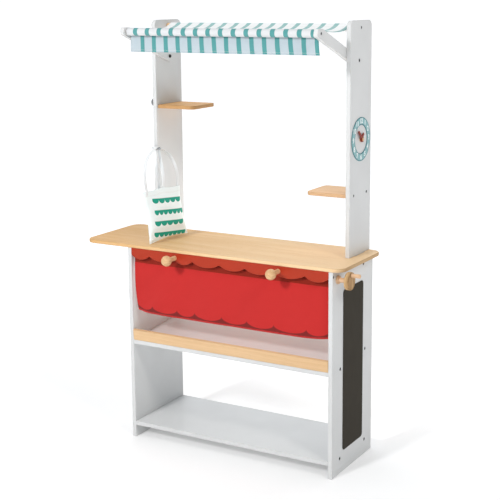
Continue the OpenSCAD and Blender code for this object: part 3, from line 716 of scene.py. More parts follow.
class Palette:
    """Every finish of the stall, built once."""

    def __init__(self) -> None:
        """Builds the materials."""
        self.paints()
        self.woods()
        self.metals()
        self.cloths()

    def paints(self) -> None:
        """Builds the paints."""
        white, worn = (221, 222, 222), (204, 198, 186)
        self.white = PaintedWood("white_paint_upright", white, worn).material()
        self.white_shelf = PaintedWood("white_paint_shelf", white, worn, Grain.ALONG_X).material()
        self.red = PaintedWood("red_paint", (177, 53, 27), (196, 100, 72), Grain.ALONG_X).material()
        self.teal = DialPaint("teal_paint", (146, 190, 193), (104, 156, 160), rough=0.5).material()
        self.pale = PaintedWood("dial_numeral_paint", (244, 250, 250), (246, 250, 250), rough=0.5).material()
        self.hands = PaintedWood("hand_red_paint", (142, 48, 32), (170, 84, 60), rough=0.4).material()
        self.chalk = ChalkPaint("chalkboard_paint", (54, 49, 40), (120, 116, 108)).material()

    def woods(self) -> None:
        """Builds the bare woods."""
        self.wood_x = BareWood("natural_wood_along", (227, 192, 150), (208, 168, 122)).material()
        # The counter's drift paints shade that deepens towards its left end.
        self.counter = BareWood("counter_wood", (239, 206, 163), (216, 170, 112), drift=0.75, ends=0.6).material()
        # The left shelf's wood is darker than the right one's as painted shade, for the awning's shade over it.
        left = BareWood("left_shelf_wood", (232, 184, 130), (216, 162, 104), ends=0.6, fronts=0.5)
        right = BareWood("right_shelf_wood", (242, 200, 157), (228, 183, 138), ends=0.6, fronts=0.4)
        self.left_shelf, self.right_shelf = left.material(), right.material()
        self.turned_x = BareWood("turned_wood_along", (234, 200, 166), (214, 172, 132), streak=0.3).material()
        across = BareWood("turned_wood_across", (230, 192, 148), (204, 160, 114), Grain.ALONG_Y, streak=0.3)
        wheel = BareWood("wheel_face_wood", (216, 180, 132), (168, 132, 90), Grain.ALONG_Z, streak=0.5)
        self.turned_y, self.face_grain = across.material(), wheel.material()

    def metals(self) -> None:
        """Builds the metals and the coated pieces' finishes."""
        self.knob = Metal("grey_knob_coat", (150, 152, 154), 0.1, 0.42).material()
        self.hook = Metal("hook_coat", (168, 172, 176), 0.3, 0.4).material()
        # The bolt steel is darkened partly as painted shade, for the shaded recesses that the heads sit in; the
        # near-black nut steel is painted shade.
        self.steel = Metal("bolt_steel", (88, 90, 92), 0.7).material()
        self.shaded_nut_steel = Metal("nut_steel", (46, 44, 42), 0.4, 0.5).material()

    def cloths(self) -> None:
        """Builds the cloths and threads."""
        self.curtain = LobedCloth("curtain_cloth", (202, 42, 40)).material()
        self.winding = Weave("wound_curtain_cloth", (206, 42, 40)).material()
        # shade is painted shade: a darker, bluer copy of the canopy cloth for the frill, which hangs in the shade of
        # the front roll.
        cloth, shade = (221, 223, 225), (190, 203, 210)
        # The canopy's top, past the roll round the front pole, carries the painted highlight.
        self.canopy = StripedCloth("canopy_cloth", cloth, period=0.03798, first=0.012, top_light_from=0.058).material()
        self.frill = StripedCloth("frill_cloth", shade, period=0.0374, first=0.0171, bare_to=-0.265).material()
        self.canvas = ScallopCanvas("bag_canvas", (245, 254, 255), deep=0.97).material()
        self.tape = Weave("strap_tape", (245, 248, 250)).material()
        self.thread = Weave("sewing_thread", (232, 230, 224), 0.0004).material()
        self.red_thread = Weave("red_sewing_thread", (190, 40, 38), 0.0004).material()


@dataclass(frozen=True)
class Dress:
    """How a mesh joins the stall: its finish, its slot name, its body and the nodes it stands for."""

    material: Material
    slot: str
    body: Body = Body.STALL
    stands_for: tuple[str, ...] = ()


@dataclass
class SubAssembly:
    """Pieces that are built and dressed together."""

    palette: Palette

    def add(self, name: str, bm: BMesh, dress: Dress, crease: float = 32.0) -> Object:
        """Turns a mesh in the making into a piece of the stall.

        Args:
            name: The piece's name.
            bm: Its mesh, which is freed.
            dress: How it joins the stall.
            crease: The angle in degrees past which an edge stays sharp.

        Returns:
            The new object.
        """
        mesh = bpy.data.meshes.new(name)
        bm.to_mesh(mesh)
        bm.free()
        mesh.shade_smooth()
        mesh.set_sharp_from_angle(angle=math.radians(crease))
        return self.join(name, mesh, dress)

    def join(self, name: str, mesh: Mesh, dress: Dress) -> Object:
        """Makes a piece from a finished mesh and ties it to its body.

        Args:
            name: The piece's name.
            mesh: Its mesh.
            dress: How it joins the stall.

        Returns:
            The new object.
        """
        mesh.materials.clear()
        mesh.materials.append(dress.material)
        piece = bpy.data.objects.new(name, mesh)
        bpy.context.scene.collection.objects.link(piece)
        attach(piece, dress.body.value)
        if dress.stands_for:
            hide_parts(*dress.stands_for)
        LOG.info("%s: %d faces on %s", name, len(mesh.polygons), dress.body.value)
        return piece

    @staticmethod
    def thicken(piece: Object, wall: float, offset: float = 0.0) -> None:
        """Gives a sheet its thickness in millimetres."""
        wall_maker = piece.modifiers.new("wall", "SOLIDIFY")
        wall_maker.thickness, wall_maker.offset, wall_maker.use_even_offset = wall * MM, offset, True

    @staticmethod
    def even_normals(piece: Object) -> None:
        """Keeps big flat faces flat beside their rounded rims."""
        weighted = piece.modifiers.new("flat_faces", "WEIGHTED_NORMAL")
        weighted.keep_sharp = True

    @staticmethod
    def repaint(node: str, material: Material) -> None:
        """Gives a CAD node that stays its finish."""
        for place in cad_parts[node].material_slots:
            place.material = material

    @staticmethod
    def outline(bm: BMesh, least: float) -> list[BMEdge]:
        """Finds the sharp edges of a board's outline and leaves out the rims of its holes.

        Args:
            bm: The board's mesh.
            least: The least reach, in millimetres, of a chain of edges that isn't a hole's rim.

        Returns:
            The outline's edges.
        """
        sharp = [e for e in bm.edges if len(e.link_faces) == 2 and e.calc_face_angle(0.0) > 0.7]
        near: dict[BMVert, list[BMEdge]] = {}
        for edge in sharp:
            for vert in edge.verts:
                near.setdefault(vert, []).append(edge)
        left, kept = set(sharp), []
        while left:
            chain, front = [], [left.pop()]
            while front:
                edge = front.pop()
                chain.append(edge)
                for other in (e for v in edge.verts for e in near[v] if e in left):
                    left.discard(other)
                    front.append(other)
            spots = [v.co for e in chain for v in e.verts]
            reach = Vector([max(p[i] for p in spots) - min(p[i] for p in spots) for i in range(3)])
            if reach.length > least * MM:
                kept.extend(chain)
        return kept

    def carve(self, node: str, rim: float, least: float = 16.0) -> BMesh:
        """Copies a CAD board, merges it and rounds the rims of its outline.

        Args:
            node: The CAD node.
            rim: The rims' radius in millimetres.
            least: The least reach of a chain of edges that is rounded.

        Returns:
            The board's mesh, with its rim faces marked.
        """
        bm = bmesh.new()
        bm.from_mesh(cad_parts[node].data)
        bmesh.ops.remove_doubles(bm, verts=bm.verts[:], dist=1e-5)
        bmesh.ops.dissolve_limit(bm, angle_limit=math.radians(1.0), verts=bm.verts[:], edges=bm.edges[:])
        mark = bm.faces.layers.float.new("rim")
        made = bmesh.ops.bevel(
            bm,
            geom=self.outline(bm, least),
            offset=rim * MM,
            segments=3,
            profile=0.5,
            affect="EDGES",
            clamp_overlap=True,
            loop_slide=False,
        )
        for face in made["faces"]:
            face[mark] = 1.0
        return bm

    def board(self, node: str, rim: float, material: Material, slot: str, body: Body = Body.STALL) -> None:
        """Replaces a CAD board with one whose rims are rounded."""
        piece = self.add(f"{node}.dressed", self.carve(node, rim), Dress(material, slot, body, (node,)))
        self.even_normals(piece)

    def lathe(
        self,
        node: str,
        profile: Sequence[Pair],
        start: Vector,
        way: Way,
        material: Material,
        body: Body = Body.STALL,
        slot: str = "natural_wood",
        steps: int = 48,
        ring: bool = False,
    ) -> None:
        """Replaces a CAD node with a piece that is turned round an axis.

        Args:
            node: The CAD node.
            profile: Radius and way along the axis of each point, in millimetres.
            start: Where the way along the axis is 0, in the CAD frame.
            way: The way that the axis points.
            material: The piece's finish.
            body: The body it rides on.
            slot: Its slot name.
            steps: Points round the axis.
            ring: Whether the profile's ends join, as on a ring; otherwise they lie on the axis.
        """
        bm = bmesh.new()
        turn = Vector(way.value).to_track_quat("Z", "Y").to_matrix()
        rows = []
        for radius, gone in profile:
            count = 1 if radius == 0 else steps
            angles = [math.tau * i / steps for i in range(count)]
            spots = [Vector((radius * math.cos(a), radius * math.sin(a), gone)) * MM for a in angles]
            rows.append([bm.verts.new(start + turn @ p) for p in spots])
        pairs = list(zip(rows, rows[1:])) + ([(rows[-1], rows[0])] if ring else [])
        for low, high in pairs:
            for i in range(steps if len(low) + len(high) > 2 else 0):
                j = (i + 1) % steps
                loop = [low[i % len(low)], low[j % len(low)], high[j % len(high)], high[i % len(high)]]
                bm.faces.new(list(dict.fromkeys(loop)))
        bmesh.ops.recalc_face_normals(bm, faces=bm.faces[:])
        self.add(f"{node}.dressed", bm, Dress(material, slot, body, (node,)))

    @staticmethod
    def grid(columns: int, rows: int, point: Rule, maps: dict[str, FlatRule]) -> BMesh:
        """Makes a sheet from a rule.

        Args:
            columns: Faces across.
            rows: Faces along.
            point: The place, in the CAD frame, at a share across and a share along.
            maps: For each UV map, its rule from the same shares.

        Returns:
            The sheet.
        """
        bm = bmesh.new()
        layers = {name: bm.loops.layers.uv.new(name) for name in maps}
        shares = [[(i / columns, j / rows) for i in range(columns + 1)] for j in range(rows + 1)]
        verts = [[bm.verts.new(point(*s)) for s in line] for line in shares]
        for j in range(rows):
            for i in range(columns):
                spots = ((j, i), (j, i + 1), (j + 1, i + 1), (j + 1, i))
                face = bm.faces.new([verts[a][b] for a, b in spots])
                for loop, (a, b) in zip(face.loops, spots):
                    for name, layer in layers.items():
                        loop[layer].uv = maps[name](*shares[a][b])
        return bm

    @staticmethod
    def sweep(
        path: Sequence[Vector],
        across: Sequence[Vector],
        section: Sequence[Pair],
        taper: Sequence[float] | None = None,
    ) -> BMesh:
        """Sweeps a closed section along a path.

        Args:
            path: The path's points in the CAD frame.
            across: At each point, the direction of the section's width.
            section: The section's points, across and off the path, in millimetres.
            taper: At each point, the section's share of its size; none keeps it whole.

        Returns:
            The swept mesh with closed ends and a cloth map.
        """
        bm = bmesh.new()
        cloth = bm.loops.layers.uv.new("cloth")
        rings, ways, gone = [], [], 0.0
        for i, spot in enumerate(path):
            along = (path[min(i + 1, len(path) - 1)] - path[max(i - 1, 0)]).normalized()
            side = (across[i] - along * across[i].dot(along)).normalized()
            off = along.cross(side)
            size = taper[i] * MM if taper else MM
            rings.append([bm.verts.new(spot + (side * a + off * b) * size) for a, b in section])
            gone += (spot - path[i - 1]).length if i else 0.0
            ways.append(gone)
        count = len(section)
        for i in range(len(path) - 1):
            for k in range(count):
                m = (k + 1) % count
                face = bm.faces.new((rings[i][k], rings[i][m], rings[i + 1][m], rings[i + 1][k]))
                for loop, (a, b) in zip(face.loops, ((i, k), (i, m), (i + 1, m), (i + 1, k))):
                    loop[cloth].uv = (section[b][0] * MM, ways[a])
        bm.faces.new(rings[0][::-1])
        bm.faces.new(rings[-1])
        bmesh.ops.recalc_face_normals(bm, faces=bm.faces[:])
        return bm


class Repeater(Graph):
    """A Geometry Nodes tree that sets copies of a small shape along points or lines."""

    def __init__(self, name: str, sizes: dict[str, float]) -> None:
        """Starts the tree with named inputs for its sizes and its material.

        Args:
            name: The tree's name.
            sizes: The name and the usual value, in metres, of each size.
        """
        group = bpy.data.node_groups.new(name, "GeometryNodeTree")
        super().__init__(group)
        face = group.interface
        face.new_socket("Geometry", in_out="INPUT", socket_type="NodeSocketGeometry")
        for size, value in sizes.items():
            face.new_socket(size, in_out="INPUT", socket_type="NodeSocketFloat").default_value = value
        face.new_socket("Material", in_out="INPUT", socket_type="NodeSocketMaterial")
        face.new_socket("Geometry", in_out="OUTPUT", socket_type="NodeSocketGeometry")
        self.entry = group.nodes.new("NodeGroupInput")

    def given(self, name: str) -> Signal:
        """Gives one of the tree's inputs."""
        return Signal(self, self.entry.outputs[name])

    def close(self, points: Signal, shape: Signal, turn: Signal) -> None:
        """Sets the shape on the points and ends the tree.

        Args:
            points: Where the copies go.
            shape: What is copied.
            turn: How each copy is turned.
        """
        copies = self.node(
            "GeometryNodeInstanceOnPoints", {}, {"Points": points, "Instance": shape, "Rotation": turn}
        )
        real = self.node("GeometryNodeRealizeInstances", {}, {"Geometry": copies})
        dressed = self.node("GeometryNodeSetMaterial", {}, {"Geometry": real, "Material": self.given("Material")})
        end = self.tree.nodes.new("NodeGroupOutput")
        self.tree.links.new(dressed.socket, end.inputs["Geometry"])

    def run(self, spots: BMesh, sizes: dict[str, float], material: Material) -> Mesh:
        """Runs the tree once.

        Args:
            spots: The points or lines it works on, which are freed.
            sizes: Values of its inputs, in metres.
            material: The copies' finish.

        Returns:
            The result as a plain mesh.
        """
        base = bpy.data.meshes.new("spots")
        spots.to_mesh(base)
        spots.free()
        carrier = bpy.data.objects.new("spots", base)
        bpy.context.scene.collection.objects.link(carrier)
        maker = carrier.modifiers.new("copies", "NODES")
        maker.node_group = self.tree
        for item in self.tree.interface.items_tree:
            if item.in_out == "INPUT" and item.name in sizes:
                maker[item.identifier] = sizes[item.name]
            elif item.in_out == "INPUT" and item.name == "Material":
                maker[item.identifier] = material
        ready = carrier.evaluated_get(bpy.context.evaluated_depsgraph_get())
        mesh = bpy.data.meshes.new_from_object(ready)
        bpy.data.objects.remove(carrier)
        return mesh


class FastenerTree(Repeater):
    """Socket-headed bolts and screws on points that carry their direction."""

    SIZES = {"Head": 0.005, "Rise": 0.004, "Socket": 0.0028, "Depth": 0.0022, "Shank": 0.003, "Length": 0.039}

    def __init__(self) -> None:
        """Builds the tree."""
        super().__init__("socket_fasteners", self.SIZES)
        head_sides, socket_sides, shank_sides, ease = 28, 6, 20, 0.86
        head_h, socket_d = self.given("Rise"), self.given("Depth")
        blank = self.rod(head_sides, self.given("Head"), head_h, 4)
        top = Signal(self, blank.socket.node.outputs["Top"])
        lower = self.moved(blank, head_h * -0.5)
        eased = self.node("GeometryNodeScaleElements", {}, {"Geometry": lower, "Selection": top, "Scale": ease})
        hollow = self.rod(socket_sides, self.given("Socket"), socket_d * 2.0, 1)
        cut = self.node("GeometryNodeMeshBoolean", {"operation": "DIFFERENCE"}, {"Mesh 1": eased, "Mesh 2": hollow})
        long = self.given("Length") - head_h * 0.5
        shank = self.moved(self.rod(shank_sides, self.given("Shank"), long, 1), head_h * -0.5 - long * 0.5)
        whole = self.node("GeometryNodeMeshBoolean", {"operation": "UNION"}, {"Mesh 2": cut})
        self.tree.links.new(shank.socket, whole.socket.node.inputs["Mesh 2"])
        aim = self.node("GeometryNodeInputNamedAttribute", {"data_type": "FLOAT_VECTOR"}, {"Name": "aim"})
        turn = self.node("FunctionNodeAlignRotationToVector", {"axis": "Z"}, {"Vector": aim})
        self.close(self.given("Geometry"), whole, turn)

    def rod(self, sides: int, radius: Signal, depth: Signal, levels: int) -> Signal:
        """Makes an upright rod round the origin.

        Args:
            sides: Points round it.
            radius: Its radius.
            depth: Its length.
            levels: Faces along it.

        Returns:
            The rod.
        """
        return self.node(
            "GeometryNodeMeshCylinder",
            {"fill_type": "NGON"},
            {"Vertices": sides, "Side Segments": levels, "Radius": radius, "Depth": depth},
        )

    def moved(self, shape: Signal, lift: Signal) -> Signal:
        """Moves a shape up by a size."""
        way = self.node("ShaderNodeCombineXYZ", {}, {"Z": lift})
        return self.node("GeometryNodeTransform", {}, {"Geometry": shape, "Translation": way})


class StitchTree(Repeater):
    """Short thread stitches laid end to end along lines."""

    SIZES = {"Pitch": 0.004, "Length": 0.0014, "Thread": 0.0004}

    def __init__(self) -> None:
        """Builds the tree."""
        super().__init__("sewn_stitches", self.SIZES)
        lines = self.node("GeometryNodeMeshToCurve", {}, {"Mesh": self.given("Geometry")})
        spots = self.node(
            "GeometryNodeResampleCurve", {"mode": "LENGTH"}, {"Curve": lines, "Length": self.given("Pitch")}
        )
        bead = self.node("GeometryNodeMeshIcoSphere", {}, {"Radius": 1.0, "Subdivisions": 1})
        thread = self.given("Thread")
        size = self.node("ShaderNodeCombineXYZ", {}, {"X": self.given("Length"), "Y": thread, "Z": thread})
        stitch = self.node("GeometryNodeTransform", {}, {"Geometry": bead, "Scale": size})
        way = self.node("GeometryNodeInputTangent")
        turn = self.node("FunctionNodeAlignRotationToVector", {"axis": "X"}, {"Vector": way})
        self.close(spots, stitch, turn)

    def sew(self, lines: Sequence[Sequence[Vector]], material: Material) -> Mesh:
        """Sews along lines.

        Args:
            lines: The points of each line, in the CAD frame.
            material: The thread's finish.

        Returns:
            The stitches as a plain mesh.
        """
        bm = bmesh.new()
        for line in lines:
            verts = [bm.verts.new(p) for p in line]
            for pair in zip(verts, verts[1:]):
                bm.edges.new(pair)
        return self.run(bm, self.SIZES, material)


@dataclass
class SewnAssembly(SubAssembly):
    """Pieces of cloth that are sewn with thread."""

    stitches: StitchTree

    def sewn(
        self,
        name: str,
        lines: Sequence[Sequence[Vector]],
        thread: Material,
        slot: str,
        body: Body = Body.STALL,
    ) -> Object:
        """Adds the stitches along lines as one piece."""
        return self.join(name, self.stitches.sew(lines, thread), Dress(thread, slot, body))


@dataclass
class SheetAssembly(SewnAssembly):
    """Sheets of cloth of one width, which is twice its half."""

    half: float = 300.0
    wall: float = 1.1

    def across(self, u: float) -> float:
        """Gives the place across a sheet, in millimetres from its middle, at a share of its width."""
        return (2 * u - 1) * self.half

    def sheet(
        self,
        name: str,
        faces: tuple[int, int],
        point: Rule,
        way: Callable[[float], float],
        dress: Dress,
        wall: float,
        maps: dict[str, FlatRule] | None = None,
    ) -> Object:
        """Makes a sheet of cloth.

        Args:
            name: The piece's name.
            faces: Its faces across and along.
            point: The place, in the CAD frame, at a share across and a share along.
            way: The way along the flat cloth, in millimetres, at a share along.
            dress: How it joins the stall.
            wall: Its thickness in millimetres.
            maps: The rules of its other UV maps.

        Returns:
            The sheet.
        """
        flat = {"cloth": lambda u, v: (self.across(u) * MM, way(v) * MM)}
        bm = self.grid(*faces, point, flat | (maps or {}))
        piece = self.add(name, bm, dress, CLOTH_CREASE)
        self.thicken(piece, wall)
        return piece

    @staticmethod
    def hem(point: Rule, shares: Sequence[float], v: float, off: float) -> list[list[Vector]]:
        """Gives the lines of a hem, sewn at a share down, on both faces of a hanging sheet."""
        return [[point(u, v) + Vector((0, side * MM, 0)) for u in shares] for side in (-off, off)]


@dataclass
class Cabinet(SubAssembly):
    """The base: side panels, shelves, lip, counter, valance, pegs and chalkboard."""

    rim: float = 1.2
    counter_rim: float = 2.0
    trim_rim: float = 1.5
    chalk_rim: float = 0.5
    peg_spread: float = 162.0
    peg_z: float = 546.0
    ball_r: float = 14.5
    stem_r: float = 6.5
    spigot_r: float = 4.5
    spigot_l: float = 9.0
    ball_reach: float = 40.0
    ball_turns: int = 22
    ball_fillet: float = 0.06
    peg_ease: float = 0.6
    peg_flare: Pair = (0.2, 1.0)
    neck_gap: float = 1.2

    def build(self) -> None:
        """Builds and dresses the base."""
        colours = self.palette
        for side in ("left", "right"):
            self.board(f"{side}_side_panel", self.rim, colours.white, "white_paint")
        for node in ("lower_shelf", "middle_shelf"):
            self.board(node, self.rim, colours.white_shelf, "white_paint")
        self.board("shelf_lip", self.trim_rim, colours.wood_x, "natural_wood")
        self.board("counter_top", self.counter_rim, colours.counter, "natural_wood")
        self.board("front_valance", self.trim_rim, colours.red, "red_paint")
        self.board("chalkboard", self.chalk_rim, colours.chalk, "chalk_black")
        self.repaint("counter_dowels", colours.turned_y)
        for side, name in ((-1, "left_valance_peg"), (1, "right_valance_peg")):
            self.peg(side, name)

    def peg(self, side: int, name: str) -> None:
        """Turns one peg with its spigot, flared stem and ball.

        Args:
            side: -1 for the left one, 1 for the right one.
            name: Its CAD node.
        """
        ease, turns, fillet, (flare, flare_l) = self.peg_ease, self.ball_turns, self.ball_fillet, self.peg_flare
        meet = math.asin(self.stem_r / self.ball_r)
        neck = self.ball_reach - self.ball_r * math.cos(meet)
        r, l = self.spigot_r, self.spigot_l
        profile = [(0.0, -l), (r - ease, -l), (r, ease - l), (r, 0.0)]
        profile += [(self.stem_r + flare, 0.0), (self.stem_r, flare_l), (self.stem_r, neck - self.neck_gap)]
        for i in range(turns + 1):
            a = meet + fillet + (math.pi - meet - fillet) * i / turns
            r = self.ball_r * math.sin(a) if i < turns else 0.0
            profile.append((r, self.ball_reach - self.ball_r * math.cos(a)))
        self.lathe(name, profile, at(side * self.peg_spread, 0.0, self.peg_z), Way.FRONT, self.palette.turned_y)


@dataclass
class Superstructure(SubAssembly):
    """The uprights, display shelves, awning arms and the two poles."""

    rim: float = 1.2
    shelf_rim: float = 1.6
    pole_r: float = 9.0
    pole_ease: float = 0.8
    rear_half: float = 296.0
    front_half: float = 284.0

    def build(self) -> None:
        """Builds and dresses the upper frame."""
        colours = self.palette
        for side, wood in (("left", colours.left_shelf), ("right", colours.right_shelf)):
            self.board(f"{side}_upright", self.rim, colours.white, "white_paint")
            self.board(f"{side}_display_shelf", self.shelf_rim, wood, "natural_wood")
            self.board(f"{side}_awning_arm", self.rim, colours.white, "white_paint")
        r, e = self.pole_r, self.pole_ease
        poles = (("rear_pole", self.rear_half, REAR_POLE), ("front_pole", self.front_half, FRONT_POLE))
        for name, half, centre in poles:
            long = 2 * half
            profile = [(0.0, 0.0), (r - e, 0.0), (r, e), (r, long - e), (r - e, long), (0.0, long)]
            self.lathe(name, profile, at(-half, *centre), Way.RIGHT, colours.wood_x)


@dataclass
class Awning(SheetAssembly):
    """The canopy cloth slung between its poles, and the frill that hangs from its front."""

    half: float = 283.0
    sleeve_r: float = 9.9
    front: Pair = FRONT_POLE
    rear: Pair = REAR_POLE
    front_leave: float = 84.0
    rear_leave: float = 120.0
    tuck: float = 50.0
    rear_wrap: float = 310.0
    pull: float = 56.0
    columns: int = 110
    wrap_rows: int = 34
    slack_rows: int = 40
    seam_in: int = 4
    seam_lift: float = 0.75
    side_seams: Pair = (0.012, 0.988)
    broad_ripple: Pair = (0.9, 31.0)
    fine_ripple: Pair = (0.6, 13.0)
    frill_y: float = -8.6
    frill_drop: float = 54.0
    frill_wave: Pair = (1.6, 1800.0)
    frill_ripple: Pair = (0.5, 17.0)
    frill_lean: float = 2.0
    frill_drift: float = 4.5
    frill_faces: tuple[int, int] = (160, 14)
    hem_at: float = 0.9
    hem_off: float = 0.8

    def build(self) -> None:
        """Builds and dresses the canopy and the frill."""
        self.canopy()
        self.frill()

    def round_pole(self, centre: Pair, start: float, end: float, steps: int) -> list[Vector]:
        """Gives the cloth's points round a pole.

        Args:
            centre: The pole's centre, as Y and Z in millimetres.
            start: The first point's angle in degrees.
            end: The last point's angle.
            steps: How many steps there are between them.

        Returns:
            The points, as Y and Z in millimetres.
        """
        (y, z), r = centre, self.sleeve_r
        angles = [math.radians(start + (end - start) * i / steps) for i in range(steps + 1)]
        return [Vector((y + r * math.cos(a), z + r * math.sin(a))) for a in angles]

    def slack(self, steps: int) -> list[Vector]:
        """Gives the hanging cloth's points.

        Args:
            steps: How many steps there are between the sleeves.

        Returns:
            The points from the front sleeve to the rear one, as Y and Z in millimetres.
        """
        start = self.round_pole(self.front, self.front_leave, self.front_leave, 1)[0]
        end = self.round_pole(self.rear, self.rear_leave, self.rear_leave, 1)[0]
        a, b = math.radians(self.front_leave), math.radians(self.rear_leave)
        first = start + self.pull * Vector((math.sin(a), -math.cos(a)))
        last = end - self.pull * Vector((math.sin(b), -math.cos(b)))
        return bend((start, first, last, end), steps)

    def canopy(self) -> None:
        """Makes the canopy as one sheet that runs round both poles."""
        front = self.round_pole(self.front, 360.0 + self.tuck, self.front_leave, self.wrap_rows)
        rear = self.round_pole(self.rear, self.rear_leave, self.rear_leave - self.rear_wrap, self.wrap_rows)
        slack = self.slack(self.slack_rows)
        path = front + slack[1:-1] + rear
        ways = [0.0]
        for a, b in zip(path, path[1:]):
            ways.append(ways[-1] + (b - a).length)
        rows, first, last = len(path) - 1, len(front), len(front) + len(slack) - 2

        def point(u: float, v: float) -> Vector:
            """Gives a place on the canopy, which ripples where it hangs free.

            Args:
                u: The share across.
                v: The share along.

            Returns:
                The place in the CAD frame.
            """
            i = round(v * rows)
            x = self.across(u)
            hang = max(0.0, min(1.0, (i - first) / (last - first)))
            ease = math.sin(math.pi * hang) ** 2
            (broad, long), (fine, short) = self.broad_ripple, self.fine_ripple
            ripple = broad * math.sin(x / long + 0.8) + fine * math.sin(x / short + hang * 3.0)
            return at(x, path[i].x, path[i].y + ease * ripple)

        faces, dress = (self.columns, rows), Dress(self.palette.canopy, "striped_cloth", stands_for=("awning_canopy",))
        sheet = self.sheet("canopy_cloth", faces, point, lambda v: ways[round(v * rows)], dress, self.wall)
        lift = Vector((0, 0, self.seam_lift * MM))
        shares = [k / self.columns for k in range(self.columns + 1)]
        seams = [[point(u, i / rows) + lift for u in shares] for i in (first + self.seam_in, last - self.seam_in)]
        seams += [[point(u, i / rows) + lift for i in range(first, last)] for u in self.side_seams]
        sewn = self.sewn("canopy_stitches", seams, self.palette.thread, "striped_cloth")

    def frill(self) -> None:
        """Makes the frill, whose foot waves a little."""

        def point(u: float, v: float) -> Vector:
            """Gives a place on the frill.

            Args:
                u: The share across.
                v: The share down.

            Returns:
                The place in the CAD frame.
            """
            x = self.across(u) + self.frill_drift * v * v * math.sin(math.pi / 2 * u) ** 0.7
            (high, turn), (low, pitch) = self.frill_wave, self.frill_ripple
            wave = high * v * math.sin(math.radians(u * turn)) + low * v * math.sin(x / pitch)
            return at(x, self.frill_y + wave - self.frill_lean * v, self.front[1] - v * self.frill_drop)

        dress = Dress(self.palette.frill, "striped_cloth", stands_for=("awning_frill",))
        sheet = self.sheet("frill_cloth", self.frill_faces, point, lambda v: v * self.frill_drop, dress, self.wall)
        shares = [k / self.frill_faces[0] for k in range(self.frill_faces[0] + 1)]
        hem = self.hem(point, shares, self.hem_at, self.hem_off)
        sewn = self.sewn("frill_stitches", hem, self.palette.thread, "striped_cloth")


